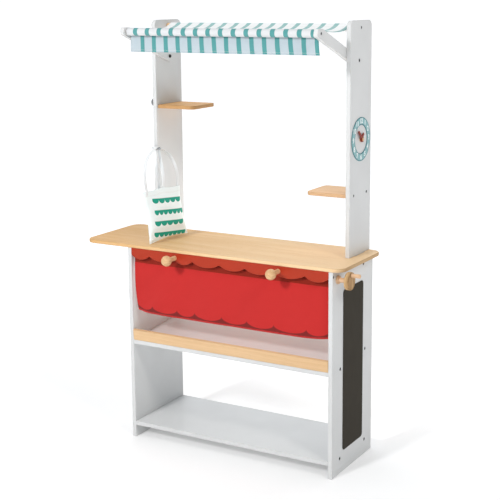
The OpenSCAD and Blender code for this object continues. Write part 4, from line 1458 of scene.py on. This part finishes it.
@dataclass
class RollerCurtain(SheetAssembly):
    """The curtain, the roller it winds on, the roller's bushes and the crank."""

    half: float = 306.0
    panel_in: float = 308.0
    axis_y: float = 28.0
    axis_z: float = 536.0
    roller_r: float = 10.0
    roller_ease: float = 0.6
    roller_play: float = 0.5
    journal_r: float = 6.5
    journal_l: float = 6.0
    bore_play: float = 0.05
    bush_wall: float = 9.0
    bush_flange: float = 11.0
    bush_seat: float = 12.0
    bush_l: float = 18.0
    bush_ease: float = 0.4
    flange_foot: Pair = (0.2, 0.6)
    flange_round: tuple[Pair, ...] = ((0.0, 1.6), (0.5, 0.6), (1.6, 0.0))
    winding_r: float = 11.9
    winding_gap: float = 0.35
    winding_faces: tuple[int, int] = (24, 44)
    turns: float = 3.2
    cloth: float = 0.5
    drop: float = 164.0
    corner_lift: float = 8.0
    belly: float = 5.0
    belly_turn: float = 120.0
    corner_pull: float = 9.0
    pull_reach: float = 45.0
    corner_back: float = 2.0
    wave: Pair = (0.8, 1440.0)
    ripple: Pair = (0.5, 23.0)
    fold_depth: float = 3.4
    fold_width: float = 14.0
    fold_from: float = 300.0
    fold_start: float = 20.0
    fold_run: float = 120.0
    fold_slope: float = 0.62
    curtain_y: float = 15.1
    curtain_faces: tuple[int, int] = (304, 24)
    lobe_shares: tuple[int, ...] = (56, 78, 54, 82, 74, 77, 91, 64)
    hem_at: float = 0.966
    hem_off: float = 0.75
    hem_steps: int = 160
    wheel_x: float = 348.0
    wheel_t: float = 12.0
    wheel_r: float = 23.5
    wheel_cap: float = 2.0
    wheel_round: Pair = (1.4, 0.4)
    groove: Pair = (2.0, 3.8)
    groove_slope: float = 0.4
    groove_deep: float = 1.2
    handle_off: float = 15.5
    handle_r: float = 5.4
    handle_l: float = 25.0
    handle_root: Pair = (4.0, -10.0)
    handle_foot: Pair = (0.4, 0.5)
    handle_waist: Pair = (0.25, 0.45)
    handle_round: tuple[Pair, ...] = ((0.0, 2.6), (0.5, 1.2), (1.5, 0.3), (2.6, 0.0))

    def build(self) -> None:
        """Builds and dresses the curtain and its crank."""
        self.roller()
        self.crank()
        self.winding()
        self.curtain()

    def on_axis(self, x: float) -> Vector:
        """Gives a place on the roller's axis."""
        return at(x, self.axis_y, self.axis_z)

    def roller(self) -> None:
        """Turns the roller with its journals, and the flanged bush."""
        r, j, e, half = self.roller_r, self.journal_r, self.roller_ease, self.panel_in - self.roller_play
        left, tip = -self.panel_in - self.journal_l, self.wheel_x + self.wheel_t - self.wheel_cap
        profile = [(0.0, 0.0), (j - e, 0.0), (j, e), (j, -half - left), (r - e, -half - left)]
        profile += [(r, e - half - left), (r, half - e - left), (r - e, half - left), (j, half - left)]
        profile += [(j, tip - e - left), (j - e, tip - left), (0.0, tip - left)]
        wood = self.palette.turned_x
        self.lathe("curtain_roller", profile, self.on_axis(left), Way.RIGHT, wood, Body.CRANK, steps=56)
        bore, wall, flange, seat, l = j + self.bore_play, self.bush_wall, self.bush_flange, self.bush_seat, self.bush_l
        (foot, rise), ease = self.flange_foot, self.bush_ease
        ring = [(bore, 0.0), (wall, 0.0), (wall, seat), (flange - foot, seat), (flange, seat + rise)]
        ring += [(flange - a, l - b) for a, b in self.flange_round] + [(bore + ease, l), (bore, l - ease)]
        self.lathe("crank_bush", ring, self.on_axis(self.panel_in), Way.RIGHT, wood, steps=56, ring=True)
        self.repaint("roller_bush", wood)

    def crank(self) -> None:
        """Turns the wheel with rounded rims and a groove in its face, and its handle."""
        r, t, bore = self.wheel_r, self.wheel_t, self.journal_r + self.bore_play
        (wide, mid), (near, far), slope, deep = self.wheel_round, self.groove, self.groove_slope, self.groove_deep
        ring = [(bore, 0.0), (r - wide, 0.0), (r - mid, mid), (r, wide)]
        ring += [(r, t - wide), (r - mid, t - mid), (r - wide, t)]
        ring += [(r - near, t), (r - near - slope, t - deep), (r - far + slope, t - deep), (r - far, t)]
        ring += [(0.0, t), (0.0, t - self.wheel_cap), (bore, t - self.wheel_cap)]
        centre, wood = self.on_axis(self.wheel_x), self.palette.face_grain
        self.lathe("crank_wheel", ring, centre, Way.RIGHT, wood, Body.CRANK, steps=64, ring=True)
        h, l, (s, root) = self.handle_r, self.handle_l, self.handle_root
        (foot, rise), (waist, share) = self.handle_foot, self.handle_waist
        profile = [(0.0, root), (s, root), (s, 0.0), (h - foot, 0.0), (h, rise), (h - waist, l * share)]
        profile += [(h - a, l - b) for a, b in self.handle_round] + [(0.0, l)]
        start = at(self.wheel_x + self.wheel_t, self.axis_y, self.axis_z + self.handle_off)
        self.lathe("crank_handle", profile, start, Way.RIGHT, self.palette.turned_x, Body.CRANK)

    def winding(self) -> None:
        """Winds the cloth that is on the roller as a spiral."""
        inner = self.roller_r + self.winding_gap
        columns, around = self.winding_faces

        def point(u: float, v: float) -> Vector:
            """Gives a place on the wound cloth.

            Args:
                u: The share across.
                v: The share along, from the roller outwards.

            Returns:
                The place in the CAD frame.
            """
            a = math.pi + v * self.turns * math.tau
            r = inner + (self.winding_r - self.cloth / 2 - inner) * v
            return at(self.across(u), self.axis_y + r * math.cos(a), self.axis_z + r * math.sin(a))

        way = self.turns * math.tau * (inner + self.winding_r) / 2
        faces = (columns, round(self.turns * around))
        dress = Dress(self.palette.winding, "red_cloth", Body.CRANK, ("curtain_winding",))
        sheet = self.sheet("wound_curtain", faces, point, lambda v: v * way, dress, self.cloth)

    @staticmethod
    def edge(u: float) -> float:
        """Gives how near a share across is to a side edge, from 0 to 1."""
        return abs(2 * u - 1) ** 8

    def length(self, u: float) -> float:
        """Gives the drop at a share across; the corners hang higher."""
        return self.drop - self.corner_lift * self.edge(u)

    def place(self, u: float, v: float) -> Vector:
        """Gives a place on the hanging curtain, with its belly, waves and one slanting fold.

        Args:
            u: The share across.
            v: The share down.

        Returns:
            The place in the CAD frame.
        """
        x = self.across(u)
        (wave, turn), (ripple, pitch) = self.wave, self.ripple
        y = self.curtain_y - self.belly * math.sin(math.radians(self.belly_turn * v))
        y += self.corner_back * self.edge(u) * v * v
        y += wave * v * math.sin(math.radians(u * turn)) + ripple * v * math.sin(x / pitch + 2.0 * v)
        off = (x + self.fold_from) * self.fold_slope - (1 - v) * self.fold_run - self.fold_start
        fold = math.exp(-((off / self.fold_width) ** 2)) * v
        x += self.corner_pull * v**2.5 * math.exp(-(x + self.half) / self.pull_reach)
        return at(x, y - self.fold_depth * fold, self.axis_z - v * self.length(u))

    def curtain(self) -> None:
        """Hangs the curtain, with its printed foot and sewn hem."""
        total, count = sum(self.lobe_shares), len(self.lobe_shares)
        cusps = [2 * self.panel_in * sum(self.lobe_shares[:i]) / total - self.panel_in for i in range(count + 1)]

        def lobes(u: float, v: float) -> Pair:
            """Gives the map of the printed foot.

            Args:
                u: The share across.
                v: The share down.

            Returns:
                The lobe's number with the share across it, and the height above the foot in metres.
            """
            x = self.across(u)
            i = max(k for k in range(count) if cusps[k] <= x)
            return i + (x - cusps[i]) / (cusps[i + 1] - cusps[i]), (1 - v) * self.length(u) * MM

        faces, dress = self.curtain_faces, Dress(self.palette.curtain, "red_cloth", stands_for=("curtain",))
        maps = {"lobes": lobes}
        sheet = self.sheet("curtain_cloth", faces, self.place, lambda v: v * self.drop, dress, self.wall, maps)
        shares = [k / self.hem_steps for k in range(1, self.hem_steps)]
        hem = self.hem(self.place, shares, self.hem_at, self.hem_off)
        sewn = self.sewn("curtain_stitches", hem, self.palette.red_thread, "red_cloth")
        for piece in (sheet, sewn):
            self.on_axis(0.0)
            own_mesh(piece)


@dataclass
class Clock(SubAssembly):
    """The dial ring with its numerals, the pin and the two hands."""

    face_x: float = UPRIGHT_FACE
    centre_y: float = UPRIGHT_MIDDLE
    centre_z: float = 880.0
    ring_t: float = 1.5
    rim: float = 0.4
    numeral_r: float = 48.0
    numeral_h: float = 13.4
    font_share: float = 1.35
    numeral_bold: float = 0.7
    numeral_t: float = 0.25
    pin_root: tuple[Pair, ...] = ((0.0, -8.0), (2.2, -8.0), (2.5, -7.6), (2.5, 0.0))
    pin_spacer: tuple[Pair, ...] = ((7.5, 0.0), (7.5, 1.8), (2.5, 1.8), (2.5, 6.7))
    pin_cap: tuple[Pair, ...] = ((4.3, 6.7), (4.5, 6.9), (4.5, 7.6), (4.1, 8.2), (2.6, 8.6), (0.0, 8.7))

    def build(self) -> None:
        """Builds and dresses the clock."""
        colours = self.palette
        self.board("clock_ring", self.rim, colours.teal, "teal_paint")
        self.numerals()
        self.board("hour_hand", self.rim, colours.hands, "hand_red", Body.HOUR)
        self.board("minute_hand", self.rim, colours.hands, "hand_red", Body.MINUTE)
        self.pin()

    def pin(self) -> None:
        """Turns the pin with its spacer and domed cap."""
        profile = self.pin_root + self.pin_spacer + self.pin_cap
        centre = at(self.face_x, self.centre_y, self.centre_z)
        self.lathe("clock_pin", profile, centre, Way.RIGHT, self.palette.wood_x, steps=40)

    def numerals(self) -> None:
        """Sets the hours round the ring as thin raised numbers."""
        whole = bmesh.new()
        stand = Matrix(((0, 0, 1), (1, 0, 0), (0, 1, 0))).to_4x4()
        for hour in range(1, 13):
            text = bpy.data.curves.new("numeral", "FONT")
            text.body, text.align_x, text.align_y = str(hour), "CENTER", "CENTER"
            text.size, text.extrude = self.numeral_h * self.font_share * MM, self.numeral_t / 2 * MM
            text.resolution_u, text.offset = 4, self.numeral_bold * MM
            carrier = bpy.data.objects.new("numeral", text)
            bpy.context.scene.collection.objects.link(carrier)
            ready = carrier.evaluated_get(bpy.context.evaluated_depsgraph_get())
            mesh = bpy.data.meshes.new_from_object(ready)
            a = math.tau * hour / 12
            y = self.centre_y + self.numeral_r * math.sin(a)
            z = self.centre_z + self.numeral_r * math.cos(a)
            spot = at(self.face_x + self.ring_t + self.numeral_t / 2, y, z)
            mesh.transform(Matrix.Translation(spot) @ stand)
            whole.from_mesh(mesh)
            bpy.data.objects.remove(carrier)
            bpy.data.curves.remove(text)
            bpy.data.meshes.remove(mesh)
        self.add("clock_numerals", whole, Dress(self.palette.pale, "white_paint"), 20.0)


@dataclass
class Bag(SewnAssembly):
    """The canvas bag, its two straps and the hook that they hang on."""

    foot: Triple = (-248.0, 101.0, 570.3)
    turn: float = -10.0
    lean: Pair = (-12.0, -14.0)
    tall: float = 149.0
    widths: tuple[Pair, ...] = ((0.0, 77.0), (0.15, 73.0), (0.35, 70.0), (0.56, 69.0), (0.8, 69.5), (1.0, 75.0))
    depths: tuple[Pair, ...] = ((0.0, 4.5), (0.08, 8.5), (0.3, 13.0), (0.6, 11.5), (0.85, 8.5), (1.0, 6.8))
    foot_arch: float = 8.0
    foot_skew: float = 7.0
    foot_fade: float = 1.6
    corners: Pair = (3.0, 0.9)
    mouth_lift: float = 4.0
    mouth_peak: Pair = (-4.0, 26.0)
    rim_low: float = 0.5
    rim_drop: float = 3.5
    pleat: tuple[float, ...] = (0.9, 7.5, 0.05, 62.0, 30.0)
    folds: tuple[tuple[float, ...], ...] = ((1.4, 0.9, 15.0, 1.0), (1.0, -1.3, 19.0, 0.0))
    fold_share: float = 0.8
    wall: float = 1.2
    hem_at: Pair = (0.9, 0.915)
    seam_run: Pair = (0.02, 0.96)
    hook_at: Triple = (-302.0, 110.0, 830.0)
    hook_r: float = 3.5
    hook_arm: float = 22.0
    hook_bend: float = 3.6
    strap_w: float = 9.0
    strap_t: float = 1.5
    strap_play: float = 0.35
    strap_gap: float = 0.3
    strap_rise: float = 3.0
    hook_root: Pair = (25.5, 14.0)

    def build(self) -> None:
        """Builds and dresses the bag and its hook."""
        self.shell()
        self.straps()
        self.hook()

    def turned(self, x: float, y: float, z: float) -> Vector:
        """Turns a place in the bag's own frame into the stall's, in millimetres."""
        c, s = math.cos(math.radians(self.turn)), math.sin(math.radians(self.turn))
        return Vector((x * c - y * s, x * s + y * c, z))

    @staticmethod
    def between(table: Sequence[Pair], share: float) -> float:
        """Reads a smooth value from a table.

        Args:
            table: Shares and the size at each.
            share: The share that is looked up.

        Returns:
            The size there.
        """
        for (a, low), (b, high) in zip(table, table[1:]):
            if share <= b:
                t = (share - a) / (b - a)
                return low + (high - low) * t * t * (3 - 2 * t)
        return table[-1][1]

    def surface(self, angle: float, h: float) -> tuple[Vector, Pair]:
        """Gives a place on the bag.

        Args:
            angle: The way round the bag from its back seam.
            h: The share of its height.

        Returns:
            The place in the CAD frame, and its place on the front print.
        """
        wide, deep = self.between(self.widths, h), self.between(self.depths, h)
        square, ease = self.corners
        power = 2 / (square - ease * h)
        c, s = math.cos(angle), math.sin(angle)
        y = wide * math.copysign(abs(c) ** power, c)
        x = deep * math.copysign(abs(s) ** power, s)
        side = y / wide
        low = self.foot_skew * (side + 1) / 2 + self.foot_arch * (1 - side * side)
        peak, reach = self.mouth_peak
        high = self.tall + self.mouth_lift * math.exp(-(((y - peak) / reach) ** 2)) - self.rim_drop * max(0.0, -s)
        z = low * (1 - h) ** self.foot_fade + (high - self.rim_low) * h
        middle = math.sin(math.pi * h) * abs(s)
        depth, pitch, slant, level, spread = self.pleat
        fold = depth * math.sin(z / pitch + slant * y) * math.exp(-(((z - level) / spread) ** 2))
        fold += sum(d * math.sin((z + slope * y) / step + phase) for d, slope, step, phase in self.folds)
        x += math.copysign(1.0, s) * fold * middle * self.fold_share
        x += self.lean[0] * h
        shifted = y + self.lean[1] * h
        spot = Vector(self.foot) + self.turned(x, shifted, z)
        front = (shifted * MM, z * MM) if s > 0 else (1.0, z * MM)
        return at(*spot), front

    def shell(self) -> None:
        """Lofts the bag from its foot seam to its open mouth."""
        bm = bmesh.new()
        cloth, front = bm.loops.layers.uv.new("cloth"), bm.loops.layers.uv.new("front")
        around, rows, hem_steps = 112, 60, 160
        angles = [math.tau * (i + 0.5) / around for i in range(around)]
        spots = [[self.surface(a, j / rows) for a in angles] for j in range(rows + 1)]
        verts = [[bm.verts.new(p) for p, _ in line] for line in spots]

        def face(corners: Sequence[tuple[int, int]]) -> None:
            """Adds one face with its place on the weave and on the front print.

            Args:
                corners: The row and the place round the bag of each corner.
            """
            made = bm.faces.new([verts[j][i % around] for j, i in corners])
            facing = all(spots[j][i % around][1][0] < 0.9 for j, i in corners)
            for loop, (j, i) in zip(made.loops, corners):
                spot, print_spot = spots[j][i % around]
                loop[cloth].uv = (spot.y, spot.z)
                loop[front].uv = print_spot if facing else (1.0, spot.z)

        for j in range(rows):
            for i in range(around):
                face(((j, i), (j, i + 1), (j + 1, i + 1), (j + 1, i)))
        for i in range(around // 2 - 1):
            face(((0, i), (0, around - 1 - i), (0, around - 2 - i), (0, i + 1)))
        bmesh.ops.recalc_face_normals(bm, faces=bm.faces[:])
        shell = self.add("bag_shell", bm, Dress(self.palette.canvas, "canvas", Body.BAG, ("bag",)), 70.0)
        self.thicken(shell, self.wall, -1.0)
        turns = [math.tau * i / hem_steps for i in range(hem_steps + 1)]
        start, run = self.seam_run
        heights = [start + run * i / rows for i in range(rows + 1)]
        seams = [[self.surface(a, h)[0] for a in turns] for h in self.hem_at]
        seams += [[self.surface(a, h)[0] for h in heights] for a in (0.0, math.pi)]
        self.sewn("bag_stitches", seams, self.palette.thread, "canvas", Body.BAG)

    def strap(self, face: int, x: float, loose: int) -> tuple[list[Vector], list[Vector]]:
        """Lays one strap over the hook's arm.

        Args:
            face: 1 for the front wall, -1 for the back wall.
            x: Where it crosses the hook's arm.
            loose: The side that bows out to a corner, -1 front or 1 back.

        Returns:
            The strap's points in the CAD frame, and its direction across at each.
        """
        near, rise_pull, bow, taut, tucked = 5.0, 60.0, 62.0, 30.0, (18.0, 9.0)
        arc_steps, hook_steps, twist_steps = 26, 14, 18
        radius = self.hook_r + self.strap_play + self.strap_t / 2
        top = Vector((x, self.hook_at[1], self.hook_at[2]))
        rim = self.tall + self.strap_rise

        def foot(u: float, down: float) -> Vector:
            """Gives a place on the bag's wall, at a way across it and below its rim."""
            wall = face * (self.depths[-1][1] - self.wall - self.strap_t / 2 - self.strap_gap)
            return Vector(self.foot) + self.turned(self.lean[0] + wall, self.lean[1] + u, rim - down)

        def on_hook(a: float) -> Vector:
            """Gives a place on the strap's arc over the hook, at an angle in degrees."""
            return top + radius * Vector((0, math.cos(math.radians(a)), math.sin(math.radians(a))))

        def heading(a: float) -> Vector:
            """Gives the strap's direction at an angle of that arc."""
            return Vector((0, math.sin(math.radians(a)), -math.cos(math.radians(a))))

        if loose < 0:
            (a0, a1), (u0, u1), (pull0, pull1), outs = (102.0, 0.0), (-63.0, near), (bow, taut), (-22.0, 0.0)
        else:
            (a0, a1), (u0, u1), (pull0, pull1), outs = (180.0, 78.0), (-near, 69.0), (taut, bow), (0.0, 15.0)
        lift0, lift1 = (Vector((0, out, rise_pull)) for out in outs)
        first, last, up, down = foot(u0, 0.0), foot(u1, 0.0), on_hook(a0), on_hook(a1)
        rise = bend((first, first + lift0, up - pull0 * heading(a0), up), arc_steps)
        over = [on_hook(a0 + (a1 - a0) * i / hook_steps) for i in range(1, hook_steps)]
        fall = bend((down, down + pull1 * heading(a1), last + lift1, last), arc_steps)
        path = [foot(u0, t) for t in tucked] + rise + over + fall + [foot(u1, t) for t in reversed(tucked)]
        flat, along_hook = self.turned(0, 1, 0), Vector((1, 0, 0))
        across = []
        for i in range(len(path)):
            k = max(0.0, min(1.0, (min(i, len(path) - 1 - i) - 2) / twist_steps))
            across.append(flat * (1 - k) + along_hook * k)
        return [at(*p) for p in path], across

    def straps(self) -> None:
        """Makes both straps as flat tapes with soft edges."""
        w, t = self.strap_w / 2, self.strap_t / 2
        under = [(-w, -t * 0.5), (-w + 0.5, -t), (0.0, -t * 0.9), (w - 0.5, -t), (w, -t * 0.5)]
        section = under + [(-a, -b) for a, b in under]
        whole = bmesh.new()
        for face, x, loose in ((1, -285.0, -1), (-1, -294.5, 1)):
            part = self.sweep(*self.strap(face, x, loose), section)
            mesh = bpy.data.meshes.new("strap")
            part.to_mesh(mesh)
            part.free()
            whole.from_mesh(mesh)
            bpy.data.meshes.remove(mesh)
        self.add("bag_straps.dressed", whole, Dress(self.palette.tape, "canvas", Body.BAG, ("bag_straps",)), 50.0)

    def hook(self) -> None:
        """Bends the hook from one rod with a rounded end."""
        x, y, z = self.hook_at
        r, turn_steps, arm_steps, sides = self.hook_bend, 10, 6, 28
        path = [at(x, y + back, z) for back in (*self.hook_root, r + 1.0)]
        for i in range(turn_steps + 1):
            a = math.pi / 2 * i / turn_steps
            path.append(at(x + r - r * math.cos(a), y + r - r * math.sin(a), z))
        path += [at(x + self.hook_arm * k / arm_steps, y, z) for k in range(1, arm_steps + 1)]
        taper = [1.0] * len(path)
        for i in range(1, arm_steps + 1):
            a = math.pi / 2 * i / (arm_steps + 0.2)
            path.append(at(x + self.hook_arm + self.hook_r * math.sin(a), y, z))
            taper.append(math.cos(a))
        turns = [math.tau * k / sides for k in range(sides)]
        section = [(self.hook_r * math.sin(a), self.hook_r * math.cos(a)) for a in turns]
        bm = self.sweep(path, [Vector((0, 0, 1))] * len(path), section, taper)
        self.add("bag_hook.dressed", bm, Dress(self.palette.hook, "hook_grey", stands_for=("bag_hook",)))


@dataclass
class SideKnob(SubAssembly):
    """The grey knob outside the left upright."""

    spot: Triple = (-308.0, 140.0, 958.0)
    dome_r: float = 12.0
    neck_r: float = 9.0
    tall: float = 14.0
    root_r: float = 3.0
    root_l: float = 5.9
    ease: float = 0.4
    neck_flare: Pair = (0.3, 0.8)
    dome_edge: Pair = (0.6, 0.7)

    def build(self) -> None:
        """Turns the knob with its root, neck and dome."""
        step, turns, lip = self.tall / 3, 14, 0.9
        r, l, n, d = self.root_r, self.root_l, self.neck_r, self.dome_r
        e, (flare, flare_l), (edge, edge_l) = self.ease, self.neck_flare, self.dome_edge
        profile = [(0.0, -l), (r - e, -l), (r, e - l), (r, 0.0), (n + flare, 0.0), (n, flare_l)]
        profile += [(n, step - e), (n + e, step), (d - edge, step), (d, step + edge_l)]
        for i in range(1, turns + 1):
            a = math.pi / 2 * i / turns
            radius = d * math.cos(a) if i < turns else 0.0
            profile.append((radius, step + lip + (self.tall - step - lip) * math.sin(a)))
        self.lathe("side_knob", profile, at(*self.spot), Way.LEFT, self.palette.knob, slot="grey_knob")


@dataclass(frozen=True)
class FastenerRow:
    """One kind of fastener: its node, the face it is sunk in, its places and its sizes in millimetres."""

    node: str
    face: float
    places: tuple[Pair, ...]
    head: float
    rise: float
    shank: float
    length: float
    sunk: float = 0.6
    facing: int = 1


@dataclass
class Fasteners(SubAssembly):
    """Every bolt, screw and nut that shows on the stall."""

    tree: FastenerTree
    socket_share: float = 0.56
    depth_share: float = 0.55
    crease: float = 30.0
    bolt: Triple = (5.0, 4.0, 3.0)
    screw: Triple = (4.0, 3.0, 2.0)
    nut: Triple = (4.8, 3.0, 3.0)
    shelf_at: tuple[Pair, ...] = ((48.0, 42.0), (204.0, 42.0), (48.34, 290.21), (203.75, 303.8))
    arm_at: Pair = (178.0, 1087.0)
    valance_at: Pair = (6.0, 547.0)
    upright_at: Pair = (UPRIGHT_MIDDLE, 545.0)
    arm_face: float = 296.0
    nut_face: float = 281.0
    display_levels: tuple[tuple[int, float], ...] = ((-1, 947.0), (1, 734.0))
    display_spread: float = 40.0

    def rows(self) -> list[FastenerRow]:
        """Lists the fasteners that stand alike on both sides.

        Returns:
            One row for each kind.
        """
        return [
            FastenerRow("shelf_bolts", PANEL_FACE, self.shelf_at, *self.bolt, length=39.4),
            FastenerRow("upright_bolts", PANEL_FACE, (self.upright_at,), *self.bolt, length=25.9),
            FastenerRow("arm_bolts", UPRIGHT_FACE, (self.arm_at,), *self.bolt, length=23.0),
            FastenerRow("arm_nuts", self.nut_face, (self.arm_at,), *self.nut, length=3.2, sunk=0.0, facing=-1),
            FastenerRow("rear_pole_screws", UPRIGHT_FACE, (REAR_POLE,), *self.screw, length=44.0),
            FastenerRow("front_pole_screws", self.arm_face, (FRONT_POLE,), *self.screw, length=44.0),
            FastenerRow("valance_screws", PANEL_FACE, (self.valance_at,), *self.screw, length=45.0),
        ]

    def build(self) -> None:
        """Sets the fasteners and dresses the nuts that stay as they are."""
        for row in self.rows():
            self.set_row(row, [(side, y, z) for side in (-1, 1) for y, z in row.places])
        display = FastenerRow("display_shelf_screws", UPRIGHT_FACE, (), *self.screw, length=40.0)
        pair = (UPRIGHT_MIDDLE - self.display_spread, UPRIGHT_MIDDLE + self.display_spread)
        self.set_row(display, [(side, y, z) for side, z in self.display_levels for y in pair])
        for node in ("shelf_barrel_nuts", "upright_nuts"):
            self.repaint(node, self.palette.steel)

    def set_row(self, row: FastenerRow, spots: Sequence[tuple[int, float, float]]) -> None:
        """Sets one kind of fastener on its places.

        Args:
            row: The kind.
            spots: The side, Y and Z of each.
        """
        bm = bmesh.new()
        aim = bm.verts.layers.float_vector.new("aim")
        for side, y, z in spots:
            bm.verts.new(at(side * (row.face - row.sunk), y, z))[aim] = Vector((side * row.facing, 0, 0))
        sizes = {"Head": row.head, "Rise": row.rise, "Shank": row.shank, "Length": row.length}
        sizes |= {"Socket": row.head * self.socket_share, "Depth": row.rise * self.depth_share}
        # Nuts that face inwards take the near-black finish, which is painted shade.
        finish = self.palette.steel if row.facing > 0 else self.palette.shaded_nut_steel
        mesh = self.tree.run(bm, {k: v * MM for k, v in sizes.items()}, finish)
        mesh.shade_smooth()
        mesh.set_sharp_from_angle(angle=math.radians(self.crease))
        self.join(f"{row.node}.dressed", mesh, Dress(finish, "fastener_grey", stands_for=(row.node,)))


@dataclass(frozen=True)
class Lamp:
    """A square area light: the way it shines, its distance and side in metres, its watts, tint and spread."""

    name: str
    way: Triple
    off: float
    size: float
    power: float
    tint: Colour = (1.0, 1.0, 1.0)
    spread: float = 180.0

    def hang(self, target: Vector) -> None:
        """Hangs the lamp, unseen by the camera.

        Args:
            target: The place that it shines on.
        """
        shape = bpy.data.lights.new(self.name, "AREA")
        shape.shape, shape.size, shape.energy = "SQUARE", self.size, self.power
        shape.color, shape.spread = self.tint, math.radians(self.spread)
        lamp = bpy.data.objects.new(self.name, shape)
        aim = Vector(self.way).normalized()
        lamp.location = target - aim * self.off
        lamp.visible_camera = False
        lamp.rotation_mode = "QUATERNION"
        lamp.rotation_quaternion = aim.to_track_quat("-Z", "Y")
        bpy.context.scene.collection.objects.link(lamp)


@dataclass
class Studio:
    """The floor, the light and the camera at the photograph's angle."""

    focal: float = 1144.2
    image: float = 500.0
    sensor: float = 36.0
    clip: Pair = (0.05, 10000.0)
    middle: Pair = (0.0, -45.0)
    yaw: float = 30.043
    pitch: float = 10.404
    roll: float = -0.494
    eye: Triple = (1.5977, -2.65275, 1.2564)
    target: Triple = (0.0, -0.05, 0.6)
    floor_reach: float = 3000.0
    floor_tones: Pair = (238.0, 242.0)
    floor_cloud: float = 3.0
    floor_rough: float = 0.7
    floor_vary: float = 0.1
    floor_relief: float = 0.0001
    floor_glow: Pair = (0.17, 0.45)
    glow_edge: Pair = (2.15, 1.35)
    rear_edge: Pair = (0.4, 0.4)
    horizon: float = 0.04
    zenith: float = 0.6
    backdrop: float = 1.1
    backdrop_way: Triple = (-0.477, 0.879, 0.0)
    sky_tint: tuple[float, float, float, float] = (0.975, 1.0, 1.03, 1.0)
    lamps: tuple[Lamp, ...] = (
        Lamp("key_light", (0.15, 0.86, -0.475), 3.6, 0.42, 66.0),
        Lamp("fill_light", (-0.72, 0.34, -0.6), 4.0, 0.7, 32.0, tint=(1.0, 0.965, 0.92)),
        Lamp("back_light", (-0.12, -0.97, 0.2), 0.8, 0.4, 1.0, spread=75.0),
    )

    def build(self) -> None:
        """Builds the studio."""
        self.floor()
        self.sky()
        for lamp in self.lamps:
            lamp.hang(Vector(self.target))
        self.camera()

    def floor(self) -> None:
        """Lays a plain pale floor, which glows faintly and more so far off and behind the stall."""
        bm = bmesh.new()
        bmesh.ops.create_grid(bm, x_segments=8, y_segments=8, size=self.floor_reach)
        mesh = bpy.data.meshes.new("studio_floor")
        bm.to_mesh(mesh)
        bm.free()
        floor = bpy.data.objects.new("studio_floor", mesh)
        bpy.context.scene.collection.objects.link(floor)
        mix = Recipe("studio_floor_paint")
        cloud = mix.noise(mix.place(), self.floor_cloud)
        colour = mix.mix(cloud, *(linear(tone, tone, tone) for tone in self.floor_tones))
        reach = mix.node("ShaderNodeVectorMath", {"operation": "LENGTH"}, {0: mix.place()}, "Value")
        away = mix.step(reach, *self.glow_edge)
        behind = mix.step(mix.axis(mix.place(), "Y"), *self.rear_edge)
        dim, bright = ((glow, glow, glow, 1.0) for glow in self.floor_glow)
        glow = mix.mix(away.maths("MAXIMUM", away, behind), dim, bright)
        mix.tree.links.new(glow.socket, mix.shader.inputs["Emission Color"])
        constants = {"Specular IOR Level": 0.1, "Emission Strength": 1.0}
        rough = self.floor_rough + cloud * self.floor_vary
        mesh.materials.append(mix.dress(colour, rough, cloud, self.floor_relief, constants))

    def sky(self) -> None:
        """Sets a sky that is brighter overhead and behind the stall, and plain white to the camera."""
        world = bpy.data.worlds.new("studio_sky")
        bpy.context.scene.world = world
        world.use_nodes = True
        sky = Graph(world.node_tree)
        way = sky.node("ShaderNodeTexCoord", out="Generated")
        up = sky.axis(way, "Z")
        behind = sky.node("ShaderNodeVectorMath", {"operation": "DOT_PRODUCT"}, {0: way, 1: self.backdrop_way}, "Value")
        strength = self.horizon + self.zenith * up.maths("MAXIMUM", up, 0.0)
        strength = strength + self.backdrop * behind.maths("MAXIMUM", behind, 0.0)
        seen = sky.node("ShaderNodeLightPath", out="Is Camera Ray")
        strength = strength * (1 - seen) + seen * self.backdrop
        back = world.node_tree.nodes["Background"]
        back.inputs["Color"].default_value = self.sky_tint
        world.node_tree.links.new(strength.socket, back.inputs["Strength"])
        bpy.context.scene.view_settings.view_transform = "Standard"

    def camera(self) -> None:
        """Stands the camera where the photograph was taken from."""
        yaw, pitch, roll = (math.radians(a) for a in (self.yaw, self.pitch, self.roll))
        ahead = Vector((-math.sin(yaw) * math.cos(pitch), math.cos(yaw) * math.cos(pitch), -math.sin(pitch)))
        right = Vector((math.cos(yaw), math.sin(yaw), 0.0))
        up = right.cross(ahead)
        across = right * math.cos(roll) + up * math.sin(roll)
        lens = bpy.data.cameras.new("photograph_camera")
        lens.sensor_width, lens.sensor_fit = self.sensor, "HORIZONTAL"
        lens.lens = self.focal * self.sensor / self.image
        lens.shift_x, lens.shift_y = -self.middle[0] / self.image, self.middle[1] / self.image
        lens.clip_start, lens.clip_end = self.clip
        camera = bpy.data.objects.new("photograph_camera", lens)
        bpy.context.scene.collection.objects.link(camera)
        tilt = Matrix((across, across.cross(ahead), -ahead)).transposed()
        camera.matrix_world = Matrix.Translation(Vector(self.eye)) @ tilt.to_4x4()
        bpy.context.scene.camera = camera


def main() -> None:
    """Builds the stall and its studio in order."""
    logging.basicConfig(level=logging.INFO, format="%(message)s")
    palette = Palette()
    stitches = StitchTree()
    Studio().build()
    Cabinet(palette).build()
    Superstructure(palette).build()
    Awning(palette, stitches).build()
    RollerCurtain(palette, stitches).build()
    Clock(palette).build()
    Bag(palette, stitches).build()
    SideKnob(palette).build()
    Fasteners(palette, FastenerTree()).build()


if __name__ == "__main__":
    main()
